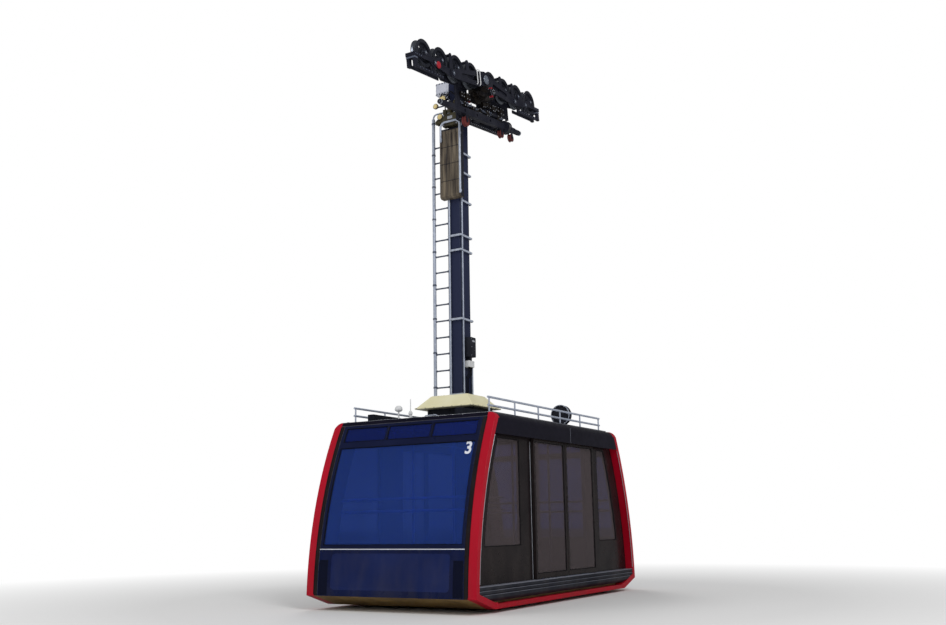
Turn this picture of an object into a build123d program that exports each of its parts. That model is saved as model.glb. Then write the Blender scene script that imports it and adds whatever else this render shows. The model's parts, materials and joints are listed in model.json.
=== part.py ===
from build123d import *
import os
from math import cos, radians, sin

# Reversible aerial tramway vehicle: a cabin hung by one offset column from an
# eight-wheel carriage. Millimetres and degrees.
# X runs along the rope and rises with it, the near end is -X, the right side is -Y.
# The origin is on the axis of the track rope, at the middle of the carriage.

# Rope and hanger
ROPE_TO_BASE = 8400      # rope axis above the underside of the cabin
ROPE_SLOPE = 8           # rise of the rope towards +X
ROPE_D = 50
PIN_RISE = 200           # hanger pin above the rope axis, square to the rope
PIN_D = 110
COLUMN_Y = 430           # hanger column beside the rope plane
PIN_X = -PIN_RISE * sin(radians(ROPE_SLOPE))
PIN_Z = ROPE_TO_BASE + PIN_RISE * cos(radians(ROPE_SLOPE))
CARRIAGE = Location((0, 0, 0), (0, -ROPE_SLOPE, 0))
CABIN = Location((PIN_X, 0, -ROPE_TO_BASE))
SEAT = 0.3               # running gap of a seated or turning piece

# Cabin outline, seen from the side
CABIN_H = 2600
KNEE_HALF, KNEE_Z = 2710, 150
BASE_HALF = KNEE_HALF - 485          # half length of the flat underside
BULGE_HALF = KNEE_HALF - 164
BULGE_Z = (CABIN_H + KNEE_Z) / 2
ROOF_HALF = KNEE_HALF - 625
HOOP_HALF_W = 1380                   # half width over the red end hoops
HOOP_W, HOOP_DEPTH = 130, 85
HOOP_TOP = 55
HOOP_CORNER_R = HOOP_W - 10
CORNER_LIFT = 2                      # the corner's arc crosses the flat faces by this much
WALL_OUT = HOOP_HALF_W - HOOP_W
WALL_T = 60
WALL_IN = WALL_OUT - WALL_T
FLOOR_TOP = KNEE_Z
FLOOR_PLATE = 40
FLOOR_RIB, FLOOR_EDGE = 50, 70
CEILING = CABIN_H - 60
SILL_H = 65
GUTTER_H, GUTTER_W = 18, 40

# Windows
GLASS_T, GLASS_SET = 10, 22
END_WINDOW_MARGIN = 45               # end frame left beside the panes
PANEL_TOP = 770                      # top of the dark panel on each end
SCREEN_Z = (PANEL_TOP + 60, CABIN_H - 395)
TRANSOM_Z = (CABIN_H - 310, CABIN_H - 100)
TRANSOMS = 3                         # panes in the row over the windscreen
MULLION = 24
SIDE_WINDOW_Z = (PANEL_TOP + 20, CABIN_H - 330)
SIDE_WINDOW_END = 400                # from the end curve to the first side window
PANEL_FIELD_DEPTH = 6
CORNER_FIELD_W, CORNER_FIELD_TOP = 165, 630

# Doors: two leaves on each side that part from DOOR_X
DOOR_X = 220
LEAF_TRAVEL = 800
LEAF_GAP = 10
LEAF_T = 40
LEAF_CLEAR = 12
LEAF_FRAME = 48
LEAF_W = ROOF_HALF - DOOR_X - LEAF_TRAVEL + LEAF_GAP / 2
NEAR_PILLAR, FAR_PILLAR = 365, 255   # between a leaf and the fixed window beside it
SIDE_WINDOW_X = (DOOR_X - LEAF_W - NEAR_PILLAR, DOOR_X + LEAF_W + FAR_PILLAR)
FENDER_Z = (100, 300)
LEAF_Z = (FENDER_Z[1] + 8, CABIN_H - 260)
LEAF_GLASS_Z = (LEAF_Z[0] + 70, LEAF_Z[1] - 70)
DOORWAY_TOP = CABIN_H - 330
HEADER_BOTTOM = CABIN_H - 300
RAIL_Z = CABIN_H - 200               # top of the ledge that the leaves hang on
RAIL_W, RAIL_T = 24, 15
FENDER_RIBS = 3
FENDER_IN, FENDER_FLARE = 6, 40

# Column, foot and head
COLUMN_L, COLUMN_W, COLUMN_T = 320, 210, 16
COLUMN_EDGE_R = 22
COLUMN_TOP = PIN_Z - 700
COLUMN_LEFT = COLUMN_Y + COLUMN_W / 2
COLUMN_RIGHT = COLUMN_Y - COLUMN_W / 2
FRONT = -COLUMN_L / 2
BEAM_H, BEAM_W = 140, 110
COVER_H = 220
BEAM_TOP = CABIN_H + BEAM_H
FOOT_TOP = BEAM_TOP + COVER_H
BOSS_R, BOSS_OUT = 110, 165
CASING_Z = (COLUMN_TOP - 1400, COLUMN_TOP - 130)
CASING_HALF_W, CASING_T = 200, 130
LADDER_X, LADDER_W, LADDER_STEP = -130, 300, 280
LADDER_TOP = PIN_Z - 550
STILE_R, RUNG_R = 20, 13
TUBE_R, TUBE_OFF = 18, 22

# Running gear, in the frame of the rope
WHEEL_R, GROOVE_R, WHEEL_W = 225, 195, 110
AXLE_R = 30
AXLE_Z = ROPE_D / 2 + GROOVE_R
WHEEL_PITCH, MIDDLE_PITCH = 500, 660
ROCKER_PIN_Z, HALF_PIN_Z = 110, 60
TIE_Z, TIE_R = 375, 24               # ties between two wheels, clear of both
PLATE_T, PLATE_GAP = 16, 4
ROCKER_IN = WHEEL_W / 2 + 8
ROCKER_OUT = ROCKER_IN + PLATE_T
HALF_IN = ROCKER_OUT + PLATE_GAP
HALF_OUT = HALF_IN + PLATE_T
FRAME_IN = HALF_OUT + PLATE_GAP
FRAME_OUT = FRAME_IN + 22
ROCKER_X = MIDDLE_PITCH / 2 + WHEEL_PITCH / 2
HALF_X = ROCKER_X + WHEEL_PITCH
LAST_AXLE_X = HALF_X + 1.5 * WHEEL_PITCH
FRAME_LOW = 80           # flat underside of the main frame, where the brake hangs
HOUSING_R, HOUSING_OUT = 84, 110
GUIDE_GAP = 8            # beside the rope in the guides and the brake
HAUL_DROP = 450          # haul rope below the track rope
HAUL_R = 15
HAUL_HALF = 1400
SOCKET_L = 250
HAUL_BEAM_HALF_W = 40
ARM_T = 20
# Rollers under the haul beam: x, radius
ROLLERS = [(-0.42 * HAUL_HALF, 90), (0.46 * HAUL_HALF, 75), (0.73 * HAUL_HALF, 75)]
ROLLER_HALF_W = 28
ROLLER_PIN_R = 12

os.makedirs("parts", exist_ok=True)


def block(x, y, z):
    """Box between the given low and high values of each axis."""
    size = (x[1] - x[0], y[1] - y[0], z[1] - z[0])
    middle = ((x[0] + x[1]) / 2, (y[0] + y[1]) / 2, (z[0] + z[1]) / 2)
    return Pos(*middle) * Box(*size)


def rod(start, end, radius):
    """Round bar from one point to another."""
    line = Vector(*end) - Vector(*start)
    lie = Plane(origin=start, z_dir=line)
    return lie * Cylinder(radius, line.length, align=(Align.CENTER, Align.CENTER, Align.MIN))


def bent_tube(points, bend, radius):
    """Round tube along a line of points with rounded corners."""
    path = FilletPolyline(*points, radius=bend)
    section = Plane(origin=path @ 0, z_dir=path % 0) * Circle(radius)
    return sweep(section, path=path)


def across(face, y):
    """Carry a face of the XZ plane through from the low to the high y."""
    return Pos(0, y[0], 0) * extrude(face, amount=-(y[1] - y[0]))


def along(points, x):
    """Carry a YZ outline through from the low to the high x."""
    face = make_face(Plane.YZ * Polyline(*points, close=True))
    return Pos(x[0], 0, 0) * extrude(face, amount=x[1] - x[0])


def link(circles):
    """XZ face stretched round circles given as x, z, radius."""
    rounds = Sketch() + [Pos(x, z) * Circle(r) for x, z, r in circles]
    return Plane.XZ * make_hull(rounds.edges())


def both_sides(part):
    return part + mirror(part, Plane.XZ)


def loose(*pieces):
    """Solids that touch, as plates and pins do, without being fused."""
    return Compound(children=[solid for piece in pieces for solid in piece.solids()])


def save(part, node, place):
    export_step(place * part, f"parts/{node}.step")


# Cabin outline as an XZ face and its prism
def side_face():
    right = Polyline((BASE_HALF, 0), (KNEE_HALF, KNEE_Z))
    right += ThreePointArc((KNEE_HALF, KNEE_Z), (BULGE_HALF, BULGE_Z), (ROOF_HALF, CABIN_H))
    left = mirror(right, Plane.YZ)
    lines = right + left + Line((-BASE_HALF, 0), (BASE_HALF, 0))
    lines += Line((-ROOF_HALF, CABIN_H), (ROOF_HALF, CABIN_H))
    return Plane.XZ * make_face(lines)


SIDE = side_face()
INNER_SIDE = offset(SIDE, amount=-HOOP_DEPTH, kind=Kind.INTERSECTION)


def outline(half_width):
    return across(SIDE, (-half_width, half_width))


def end_skin(depth, half_width, z, back=0):
    """Curved wall of the +X end, lying back from the end surface."""
    prism = outline(half_width)
    skin = Pos(-back, 0, 0) * prism - Pos(-back - depth, 0, 0) * prism
    return skin & block((0, KNEE_HALF + depth), (-half_width, half_width), z)


def square_hoop():
    """Hoop of the +X end before its corners are rounded: two side flanges and a top bar."""
    flange = across(SIDE - INNER_SIDE, (WALL_OUT, HOOP_HALF_W))
    beside = (0, HOOP_HALF_W + 1)
    flange -= block((-KNEE_HALF, BASE_HALF - HOOP_DEPTH), beside, (-1, CABIN_H / 2))
    flange -= block((-KNEE_HALF, ROOF_HALF - HOOP_DEPTH), beside, (CABIN_H / 2, CABIN_H + 1))
    return both_sides(flange) + end_skin(HOOP_DEPTH, WALL_OUT, (CABIN_H - HOOP_TOP, CABIN_H))


def hoop():
    """Red hoop of the +X end, with rounded top corners."""
    y, z = HOOP_HALF_W - HOOP_CORNER_R + CORNER_LIFT, CABIN_H - HOOP_CORNER_R + CORNER_LIFT
    corner = block((0, KNEE_HALF), (y, HOOP_HALF_W + 10), (z, CABIN_H + 10))
    corner -= rod((0, y, z), (KNEE_HALF, y, z), HOOP_CORNER_R)
    return square_hoop() - both_sides(corner)


def end_openings():
    """Windscreen and transom cut-outs of the +X end."""
    half = WALL_IN - END_WINDOW_MARGIN
    cut = block((0, KNEE_HALF + HOOP_DEPTH), (-half, half), SCREEN_Z)
    width = 2 * half / TRANSOMS
    for i in range(TRANSOMS):
        left = -half + i * width
        y = (left + MULLION / 2, left + width - MULLION / 2)
        cut += block((0, KNEE_HALF + HOOP_DEPTH), y, TRANSOM_Z)
    return cut


def end_panel():
    """Dark panel under the windscreen, with a wide field and two corner fields let in."""
    panel = end_skin(WALL_T, WALL_IN, (FLOOR_TOP, PANEL_TOP))
    face = end_skin(PANEL_FIELD_DEPTH, WALL_IN, (FLOOR_TOP, PANEL_TOP))
    edge = WALL_IN - CORNER_FIELD_W
    field = Pos(0, 0, (FLOOR_TOP + PANEL_TOP) / 2 + 20) * Rot(0, 90, 0) * extrude(
        RectangleRounded(PANEL_TOP - FLOOR_TOP - 130, 2 * edge - 110, 60), 2 * KNEE_HALF)
    corner = block((0, 2 * KNEE_HALF), (edge, WALL_IN - 15), (FLOOR_TOP + 12, CORNER_FIELD_TOP))
    return panel - (face & (field + both_sides(corner)))


def side_window(side):
    """Prism of the fixed side window towards +X (side 1) or -X (side -1)."""
    start = SIDE_WINDOW_X[1] if side > 0 else -SIDE_WINDOW_X[0]
    prism = Pos(-SIDE_WINDOW_END, 0, 0) * outline(HOOP_HALF_W)
    prism &= block((start, KNEE_HALF), (-HOOP_HALF_W, HOOP_HALF_W), SIDE_WINDOW_Z)
    return prism if side > 0 else mirror(prism, Plane.YZ)


def side_wall():
    """Wall of the +Y side, between the floor and the roof."""
    slab = block((-KNEE_HALF, KNEE_HALF), (0, HOOP_HALF_W), (FLOOR_TOP, CEILING))
    wall = across(SIDE, (WALL_IN, WALL_OUT)) & slab
    half = LEAF_TRAVEL + LEAF_GAP
    wall -= block((DOOR_X - half, DOOR_X + half), (0, HOOP_HALF_W), (FLOOR_TOP, DOORWAY_TOP))
    return wall - side_window(1) - side_window(-1)


def side_glass():
    y = (WALL_OUT - GLASS_SET, WALL_OUT - GLASS_SET + GLASS_T)
    pane = block((-KNEE_HALF, KNEE_HALF), y, (0, CABIN_H))
    return (side_window(1) & pane) + (side_window(-1) & pane)


def header():
    """Open box over the doors, with the ledge that the leaves hang on."""
    back, skin = WALL_OUT + 6, 10
    front, lid = HOOP_HALF_W - skin, CABIN_H - skin
    points = [
        (WALL_OUT, CEILING), (WALL_OUT, RAIL_Z - RAIL_T), (back + RAIL_W, RAIL_Z - RAIL_T),
        (back + RAIL_W, RAIL_Z), (back, RAIL_Z), (back, lid), (front, lid),
        (front, HEADER_BOTTOM), (HOOP_HALF_W, HEADER_BOTTOM), (HOOP_HALF_W, CABIN_H),
        (WALL_OUT, CABIN_H),
    ]
    section = make_face(Polyline(*points, close=True))
    for radius in (HOOP_CORNER_R, HOOP_CORNER_R - skin):
        corner = section.vertices().sort_by(lambda vertex: vertex.X + vertex.Y)[-1]
        section = fillet(corner, radius)
    box = Pos(-KNEE_HALF, 0, 0) * extrude(Plane.YZ * section, amount=2 * KNEE_HALF)
    box &= across(SIDE, (WALL_OUT, HOOP_HALF_W))
    return box - SQUARE_HOOP - mirror(SQUARE_HOOP, Plane.YZ)


def fender():
    """Ribbed rubbing strip under the doors, its lower edge drawn in."""
    low, high = FENDER_Z
    face = HOOP_HALF_W - FENDER_IN
    base = low + FENDER_FLARE
    pitch = (high - base) / FENDER_RIBS
    depth, groove = 14, pitch / 3
    points = [(WALL_OUT, low), (face - FENDER_FLARE, low), (face, base)]
    for i in range(1, FENDER_RIBS):
        z = base + i * pitch
        points += [(face, z - groove / 2), (face - depth, z - groove / 4)]
        points += [(face - depth, z + groove / 4), (face, z + groove / 2)]
    points += [(face, high - 8), (face - 8, high), (WALL_OUT, high)]
    box = along(points, (-KNEE_HALF, KNEE_HALF))
    return box & across(INNER_SIDE, (WALL_OUT, HOOP_HALF_W))


def sill():
    """Red rail under the fender, from hoop to hoop."""
    half = BASE_HALF - HOOP_DEPTH
    return block((-half, half), (WALL_OUT, HOOP_HALF_W), (0, SILL_H))


def floor():
    """Floor plate on cross members, closed by a lip at each end."""
    bays = 6
    slab = block((-KNEE_HALF, KNEE_HALF), (-WALL_OUT, WALL_OUT), (0, FLOOR_TOP))
    pan = outline(WALL_OUT) & slab
    span = 2 * (BASE_HALF - FLOOR_EDGE)
    bay = span / bays
    half = FLOOR_RIB / 2
    for i in range(bays):
        left = -span / 2 + i * bay
        x = (left + half, left + bay - half)
        pocket = block(x, (half, WALL_OUT - FLOOR_EDGE), (-1, FLOOR_TOP - FLOOR_PLATE))
        pan -= both_sides(pocket)
    return pan


def roof():
    """Roof panel with a gutter edge along each side."""
    slab = block((-KNEE_HALF, KNEE_HALF), (-WALL_OUT, WALL_OUT), (CEILING, CABIN_H))
    panel = (outline(WALL_OUT) & slab) - SQUARE_HOOP - mirror(SQUARE_HOOP, Plane.YZ)
    half = ROOF_HALF - HOOP_DEPTH
    edge = block((-half, half), (WALL_OUT - GUTTER_W, WALL_OUT), (CABIN_H, CABIN_H + GUTTER_H))
    return panel + both_sides(edge)


def leaf():
    """Door leaf towards +X on the +Y side, hung on the header's ledge."""
    x = (DOOR_X + LEAF_GAP / 2, DOOR_X + LEAF_GAP / 2 + LEAF_W)
    y = (WALL_OUT + LEAF_CLEAR, WALL_OUT + LEAF_CLEAR + LEAF_T)
    pane = (x[0] + LEAF_FRAME, x[1] - LEAF_FRAME)
    part = block(x, y, LEAF_Z) - block(pane, (0, HOOP_HALF_W), LEAF_GLASS_Z)
    hanger_half, hanger_in, hanger_t, foot_h = 45, 180, 12, 30
    for middle in (x[0] + hanger_in, x[1] - hanger_in):
        reach = (middle - hanger_half, middle + hanger_half)
        part += block(reach, (y[1] - hanger_t, y[1]), (LEAF_Z[1], RAIL_Z + foot_h))
        foot = (WALL_OUT + LEAF_CLEAR + 2, y[1])
        part += block(reach, foot, (RAIL_Z + SEAT, RAIL_Z + foot_h))
    return part


def leaf_glass():
    start = DOOR_X + LEAF_GAP / 2
    x = (start + LEAF_FRAME, start + LEAF_W - LEAF_FRAME)
    middle = WALL_OUT + LEAF_CLEAR + LEAF_T / 2
    return block(x, (middle - GLASS_T / 2, middle + GLASS_T / 2), LEAF_GLASS_Z)


def interior_rails():
    """Four poles, and two hand rails round the windows of each end."""
    radius, pole_y = 20, 350
    pole_x, rail_x, rail_y = ROOF_HALF - 535, BULGE_HALF - 170, WALL_IN - 90
    part = Part()
    for x in (-pole_x, pole_x):
        for y in (-pole_y, pole_y):
            part += rod((x, y, FLOOR_TOP), (x, y, CEILING), radius)
    for end in (-rail_x, rail_x):
        bend = 160 if end > 0 else -160
        for z in (PANEL_TOP + 510, PANEL_TOP + 680):
            turn = pole_x if end > 0 else -pole_x
            points = [(turn, -rail_y, z), (end, -rail_y, z), (end, rail_y, z), (turn, rail_y, z)]
            part += bent_tube(points, abs(bend), radius)
            for y in (-1, 1):
                for x in (end - bend, turn + bend / 8):
                    part += rod((x, y * rail_y, z), (x, y * WALL_IN, z), radius / 2)
    return part


def roof_rail():
    """Low guard rail on posts along both long edges of the roof."""
    post_r, rail_r, height, posts = 12, 16, 230, 6
    half, y = ROOF_HALF - 185, WALL_OUT - 90
    reach = half + 2 * rail_r
    rails = Part()
    for z in (CABIN_H + height / 2, CABIN_H + height):
        rails += rod((-reach, y, z), (reach, y, z), rail_r)
    stands = Part()
    for i in range(posts):
        x = -half + 2 * half * i / (posts - 1)
        stands += rod((x, y, CABIN_H), (x, y, CABIN_H + height), post_r)
    return loose(both_sides(rails), both_sides(stands - rails))


# Round fittings on the roof: x, y, radius, height of the drum, height of the dome
ROOF_FITTINGS = [
    (335 - ROOF_HALF, 0.38 * WALL_OUT, 75, 90, 60),
    (335 - ROOF_HALF, 0.21 * WALL_OUT, 30, 110, 20),
    (0.46 * ROOF_HALF, 350 - WALL_OUT, 190, 60, 120),
]


def roof_fittings():
    part = Part()
    for x, y, radius, drum, dome in ROOF_FITTINGS:
        top = CABIN_H + drum
        part += rod((x, y, CABIN_H), (x, y, top), radius)
        cap = Pos(x, y, top) * scale(Sphere(radius), (1, 1, dome / radius))
        part += cap & block((x - radius, x + radius), (y - radius, y + radius), (top, top + dome))
    return part


def roof_beams():
    """Frame on the roof that spreads the load of the column."""
    half, cross_x = ROOF_HALF - 335, COLUMN_L + 10
    beam_y = (-0.45 * WALL_OUT, WALL_OUT - 260)
    z, edge = (CABIN_H, BEAM_TOP), BEAM_W / 2
    between = (beam_y[0] + edge, beam_y[1] - edge)
    pieces = [block((-half, half), (y - edge, y + edge), z) for y in beam_y]
    pieces += [block((x - edge, x + edge), between, z) for x in (-cross_x, cross_x)]
    pad = block((edge - cross_x, cross_x - edge), (COLUMN_RIGHT - 60, COLUMN_LEFT + 60), z)
    return loose(*pieces, pad)


def foot_cover():
    """Hipped cover round the foot of the column, with a drip edge."""
    drip = 25
    lip = Pos(0, COLUMN_Y, BEAM_TOP) * Rectangle(940, 1110)
    base = Pos(0, COLUMN_Y, BEAM_TOP + drip) * Rectangle(900, 1070)
    top = Pos(0, COLUMN_Y, FOOT_TOP) * Rectangle(560, 650)
    cover = extrude(lip, drip) + loft([base.face(), top.face()])
    return cover - Pos(0, COLUMN_Y, BEAM_TOP) * Box(COLUMN_L, COLUMN_W, 3 * COVER_H)


def column():
    """Box column with rounded edges and a stiffening band at each end."""
    height = COLUMN_TOP - BEAM_TOP
    shape = RectangleRounded(COLUMN_L, COLUMN_W, COLUMN_EDGE_R)
    inside = Rectangle(COLUMN_L - 2 * COLUMN_T, COLUMN_W - 2 * COLUMN_T)
    return Pos(0, COLUMN_Y, BEAM_TOP) * extrude(shape - inside, height)


def hanger_head():
    """Head of the column, hollowed on both sides, with the boss that holds the pin."""
    half = COLUMN_L / 2
    web, rim = 30, 34
    z = COLUMN_TOP
    foot_r = 20
    foot = [(foot_r - half, z + foot_r, foot_r), (half - foot_r, z + foot_r, foot_r)]
    eye = (0, PIN_Z, BOSS_R + 25)
    head = across(link(foot + [eye]), (COLUMN_RIGHT, COLUMN_LEFT))
    inner = [(foot_r - half + rim, z + foot_r + rim, foot_r), (half - foot_r - rim, z + foot_r + rim, foot_r)]
    pocket = link(inner + [(0, PIN_Z - 100, BOSS_R + 25 - rim)])
    for y in ((COLUMN_RIGHT, COLUMN_Y - web / 2), (COLUMN_Y + web / 2, COLUMN_LEFT)):
        head -= across(pocket, y)
    head += rod((0, COLUMN_RIGHT - 25, PIN_Z), (0, COLUMN_LEFT + BOSS_OUT, PIN_Z), BOSS_R)
    return head - rod((0, 0, PIN_Z), (0, 2 * COLUMN_LEFT, PIN_Z), PIN_D / 2)


def hanger_pin():
    """Pin from the carriage's housing to the outer end of the head."""
    cap, cap_r = 18, PIN_D / 2 + 25
    y_in, y_out = -FRAME_OUT - 14, COLUMN_LEFT + BOSS_OUT
    pin = rod((0, y_in, PIN_Z), (0, y_out, PIN_Z), PIN_D / 2)
    for y in (y_in, y_out + cap):
        pin += rod((0, y - cap, PIN_Z), (0, y, PIN_Z), cap_r)
    return pin


def head_casing():
    """Sheet casing on the front of the column, with upright flutes and a sloping top."""
    low, high = CASING_Z
    edge, flute, depth, flutes = 30, 26, 8, 4
    y = (COLUMN_Y - CASING_HALF_W, COLUMN_Y + CASING_HALF_W)
    front = FRONT - CASING_T
    face = Polyline((FRONT, low), (front + edge, low), (front, low + edge), (front, high - 2 * edge),
                    (front + 2 * edge, high), (FRONT, high), close=True)
    part = across(Plane.XZ * make_face(face), y)
    for i in range(flutes):
        middle = y[0] + (i + 0.5) * 2 * CASING_HALF_W / flutes
        span = (middle - flute / 2, middle + flute / 2)
        part -= block((front - 1, front + depth), span, (low + 2 * edge, high - 4 * edge))
    return part


def hydraulic_unit():
    """Brake pump on the front of the head: tank, two accumulators, motor and valve block."""
    depth, low = 115, COLUMN_TOP - 100
    tank_h, bottle_h, bottle_r, motor_r = 230, 200, 44, 52
    middle = FRONT - depth / 2
    y = (COLUMN_Y - 150, COLUMN_Y + 150)
    tank = block((FRONT - depth, FRONT), y, (low, low + tank_h))
    part = fillet(tank.edges().filter_by(Axis.Y), 18)
    for offset_y in (-85, 35):
        base = (middle, COLUMN_Y + offset_y, low + tank_h)
        top = (middle, COLUMN_Y + offset_y, low + tank_h + bottle_h)
        part += rod(base, top, bottle_r)
        part += Pos(*top) * Sphere(bottle_r)
    part += rod((middle, y[1], low + 120), (middle, y[1] + 130, low + 120), motor_r)
    part += rod((middle, y[1] + 130, low + 120), (middle, y[1] + 160, low + 120), motor_r - 14)
    return part + block((middle - 40, middle + 40), (COLUMN_Y + 85, y[1]), (low, low + tank_h + 90))


def ladder():
    """Ladder beside the front of the column: two stiles, and rungs let in between them."""
    inner = COLUMN_LEFT + 20
    outer = inner + LADDER_W
    height = COLUMN_TOP - FOOT_TOP
    stiles = rod((LADDER_X, inner, FOOT_TOP), (LADDER_X, inner, COLUMN_TOP - 100), STILE_R)
    stiles += rod((LADDER_X, outer, FOOT_TOP), (LADDER_X, outer, LADDER_TOP), STILE_R)
    rungs = Part()
    for i in range(int((height - 200) / LADDER_STEP) + 1):
        z = FOOT_TOP + 60 + i * LADDER_STEP
        rungs += rod((LADDER_X, inner, z), (LADDER_X, outer, z), RUNG_R)
    clips = Part()
    for share in (0.04, 0.35, 0.66, 0.94):
        z = FOOT_TOP + share * height
        clips += block((LADDER_X - 15, LADDER_X + 15), (COLUMN_LEFT, inner), (z - 30, z + 30))
    return loose(stiles, rungs - stiles, clips - stiles)


# Tubes up the column: x, y, share of its height at the top
TUBES = [
    (FRONT - TUBE_OFF, COLUMN_LEFT - 20, 0.715),
    (FRONT + 30, COLUMN_RIGHT - TUBE_OFF, 1.0),
    (-FRONT - 20, COLUMN_RIGHT - TUBE_OFF, 0.14),
]
# Bands that hold the tubes, as shares of the column's height
FULL_BANDS = (0.04, 0.294, 0.533, 0.585)
SIDE_BANDS = (0.709, 0.812, 0.883)


def conduits():
    """Tubes on two sides of the column, their bands, and the hoop over the casing."""
    height, band_t, band_h = COLUMN_TOP - FOOT_TOP, 10, 34
    outer = TUBE_OFF + TUBE_R
    x_out, y_out = FRONT - outer - band_t + 4, COLUMN_RIGHT - outer - band_t + 4
    part = Part()
    for x, y, share in TUBES:
        part += rod((x, y, FOOT_TOP), (x, y, FOOT_TOP + share * height), TUBE_R)
    for share in FULL_BANDS + SIDE_BANDS:
        middle = FOOT_TOP + share * height
        z = (middle - band_h / 2, middle + band_h / 2)
        start = x_out if share in FULL_BANDS else FRONT + 5
        part += block((start, -FRONT), (y_out, y_out + band_t), z)
        for x in (FRONT + 60, -FRONT - 12):
            part += block((x, x + 12), (y_out, COLUMN_RIGHT), z)
        if share in FULL_BANDS:
            part += block((x_out, x_out + band_t), (y_out, COLUMN_LEFT), z)
            part += block((x_out, FRONT), (COLUMN_LEFT - 62, COLUMN_LEFT - 50), z)
    hoop_x = FRONT - CASING_T - TUBE_R
    right, left = COLUMN_Y - CASING_HALF_W - 10, COLUMN_Y + CASING_HALF_W - 30
    top = CASING_Z[1] + 90
    path = [(hoop_x, right, CASING_Z[0] + 40), (hoop_x, right, top), (hoop_x, left, top),
            (hoop_x, left, CASING_Z[1] - 260)]
    part += bent_tube(path, 90, TUBE_R)
    for y, z in ((right, CASING_Z[0] + 80), (right, CASING_Z[1] - 160), (left, CASING_Z[1] - 220)):
        part += block((hoop_x, FRONT - CASING_T), (y - 20, y + 20), (z - 20, z + 20))
    return part


def junction_box():
    """Switch box on the right side of the column, with a small box under it."""
    low, depth = FOOT_TOP + 820, 130
    y = (COLUMN_RIGHT - depth, COLUMN_RIGHT)
    box = fillet(block((-80, 90), y, (low, low + 330)).edges().filter_by(Axis.Y), 20)
    neck = block((-25, 35), (y[0] + 45, COLUMN_RIGHT), (low - 60, low))
    return box + neck + block((-75, 85), (y[0] + 30, COLUMN_RIGHT), (low - 165, low - 60))


# Carriage pieces, with the rope along X at z = 0
def wheel(x):
    """Grooved rope wheel: rim, thin web with lightening holes, and hub."""
    half, web, rim, hub = WHEEL_W / 2, 12, GROOVE_R - 28, 60
    bore, rope_r, holes = AXLE_R + SEAT, ROPE_D / 2, 6
    points = [
        (bore, -half), (hub, -half), (hub + 8, -web), (rim - 6, -web), (rim, -half + 6),
        (rim + 6, -half), (WHEEL_R, -half), (WHEEL_R, -half + 10), (GROOVE_R + 9, -rope_r - 1),
    ]
    right = [(r, -y) for r, y in reversed(points)]
    lines = Polyline(*points) + ThreePointArc(points[-1], (GROOVE_R, 0), right[0])
    lines += Polyline(*right) + Line(right[-1], points[0])
    disc = revolve(make_face(lines), Axis.Y)
    ring = (hub + rim) / 2
    hole_r = (rim - hub) / 4
    for turn in range(holes):
        disc -= Rot(0, turn * 360 / holes, 0) * rod((ring, -half, 0), (ring, half, 0), hole_r)
    return Pos(x, 0, AXLE_Z) * disc


def rocker(middle):
    """Two V cheeks that carry two wheels, with their axles and pivot stubs."""
    near, far = middle - WHEEL_PITCH / 2, middle + WHEEL_PITCH / 2
    hub_r, pivot_r = 56, 68
    pivot = (middle, ROCKER_PIN_Z, pivot_r)
    arms = link([(near, AXLE_Z, hub_r), pivot]) + link([pivot, (far, AXLE_Z, hub_r)])
    cheek = across(arms, (ROCKER_IN, ROCKER_OUT))
    cheek += rod((middle, ROCKER_IN, ROCKER_PIN_Z), (middle, HALF_IN, ROCKER_PIN_Z), 42)
    for x in (near, far):
        cheek += rod((x, ROCKER_OUT, AXLE_Z), (x, ROCKER_OUT + 8, AXLE_Z), AXLE_R + 10)
    part = both_sides(cheek)
    for x in (near, far):
        part += rod((x, -ROCKER_OUT, AXLE_Z), (x, ROCKER_OUT, AXLE_Z), AXLE_R)
    return part


def half_beam(middle):
    """Two cheeks between two rockers, tied over the wheels, with the pivot stubs."""
    near, far = middle - WHEEL_PITCH, middle + WHEEL_PITCH
    end_r, pivot_r = 46, 66
    pivot = (middle, HALF_PIN_Z, pivot_r)
    bars = link([(near, ROCKER_PIN_Z, end_r), pivot]) + link([pivot, (far, ROCKER_PIN_Z, end_r)])
    bars += link([pivot, (middle, TIE_Z, TIE_R + 10)])
    cheek = across(bars, (HALF_IN, HALF_OUT))
    cheek += rod((middle, HALF_OUT, HALF_PIN_Z), (middle, FRAME_IN, HALF_PIN_Z), 44)
    return both_sides(cheek) + rod((middle, -HALF_OUT, TIE_Z), (middle, HALF_OUT, TIE_Z), TIE_R)


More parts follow.
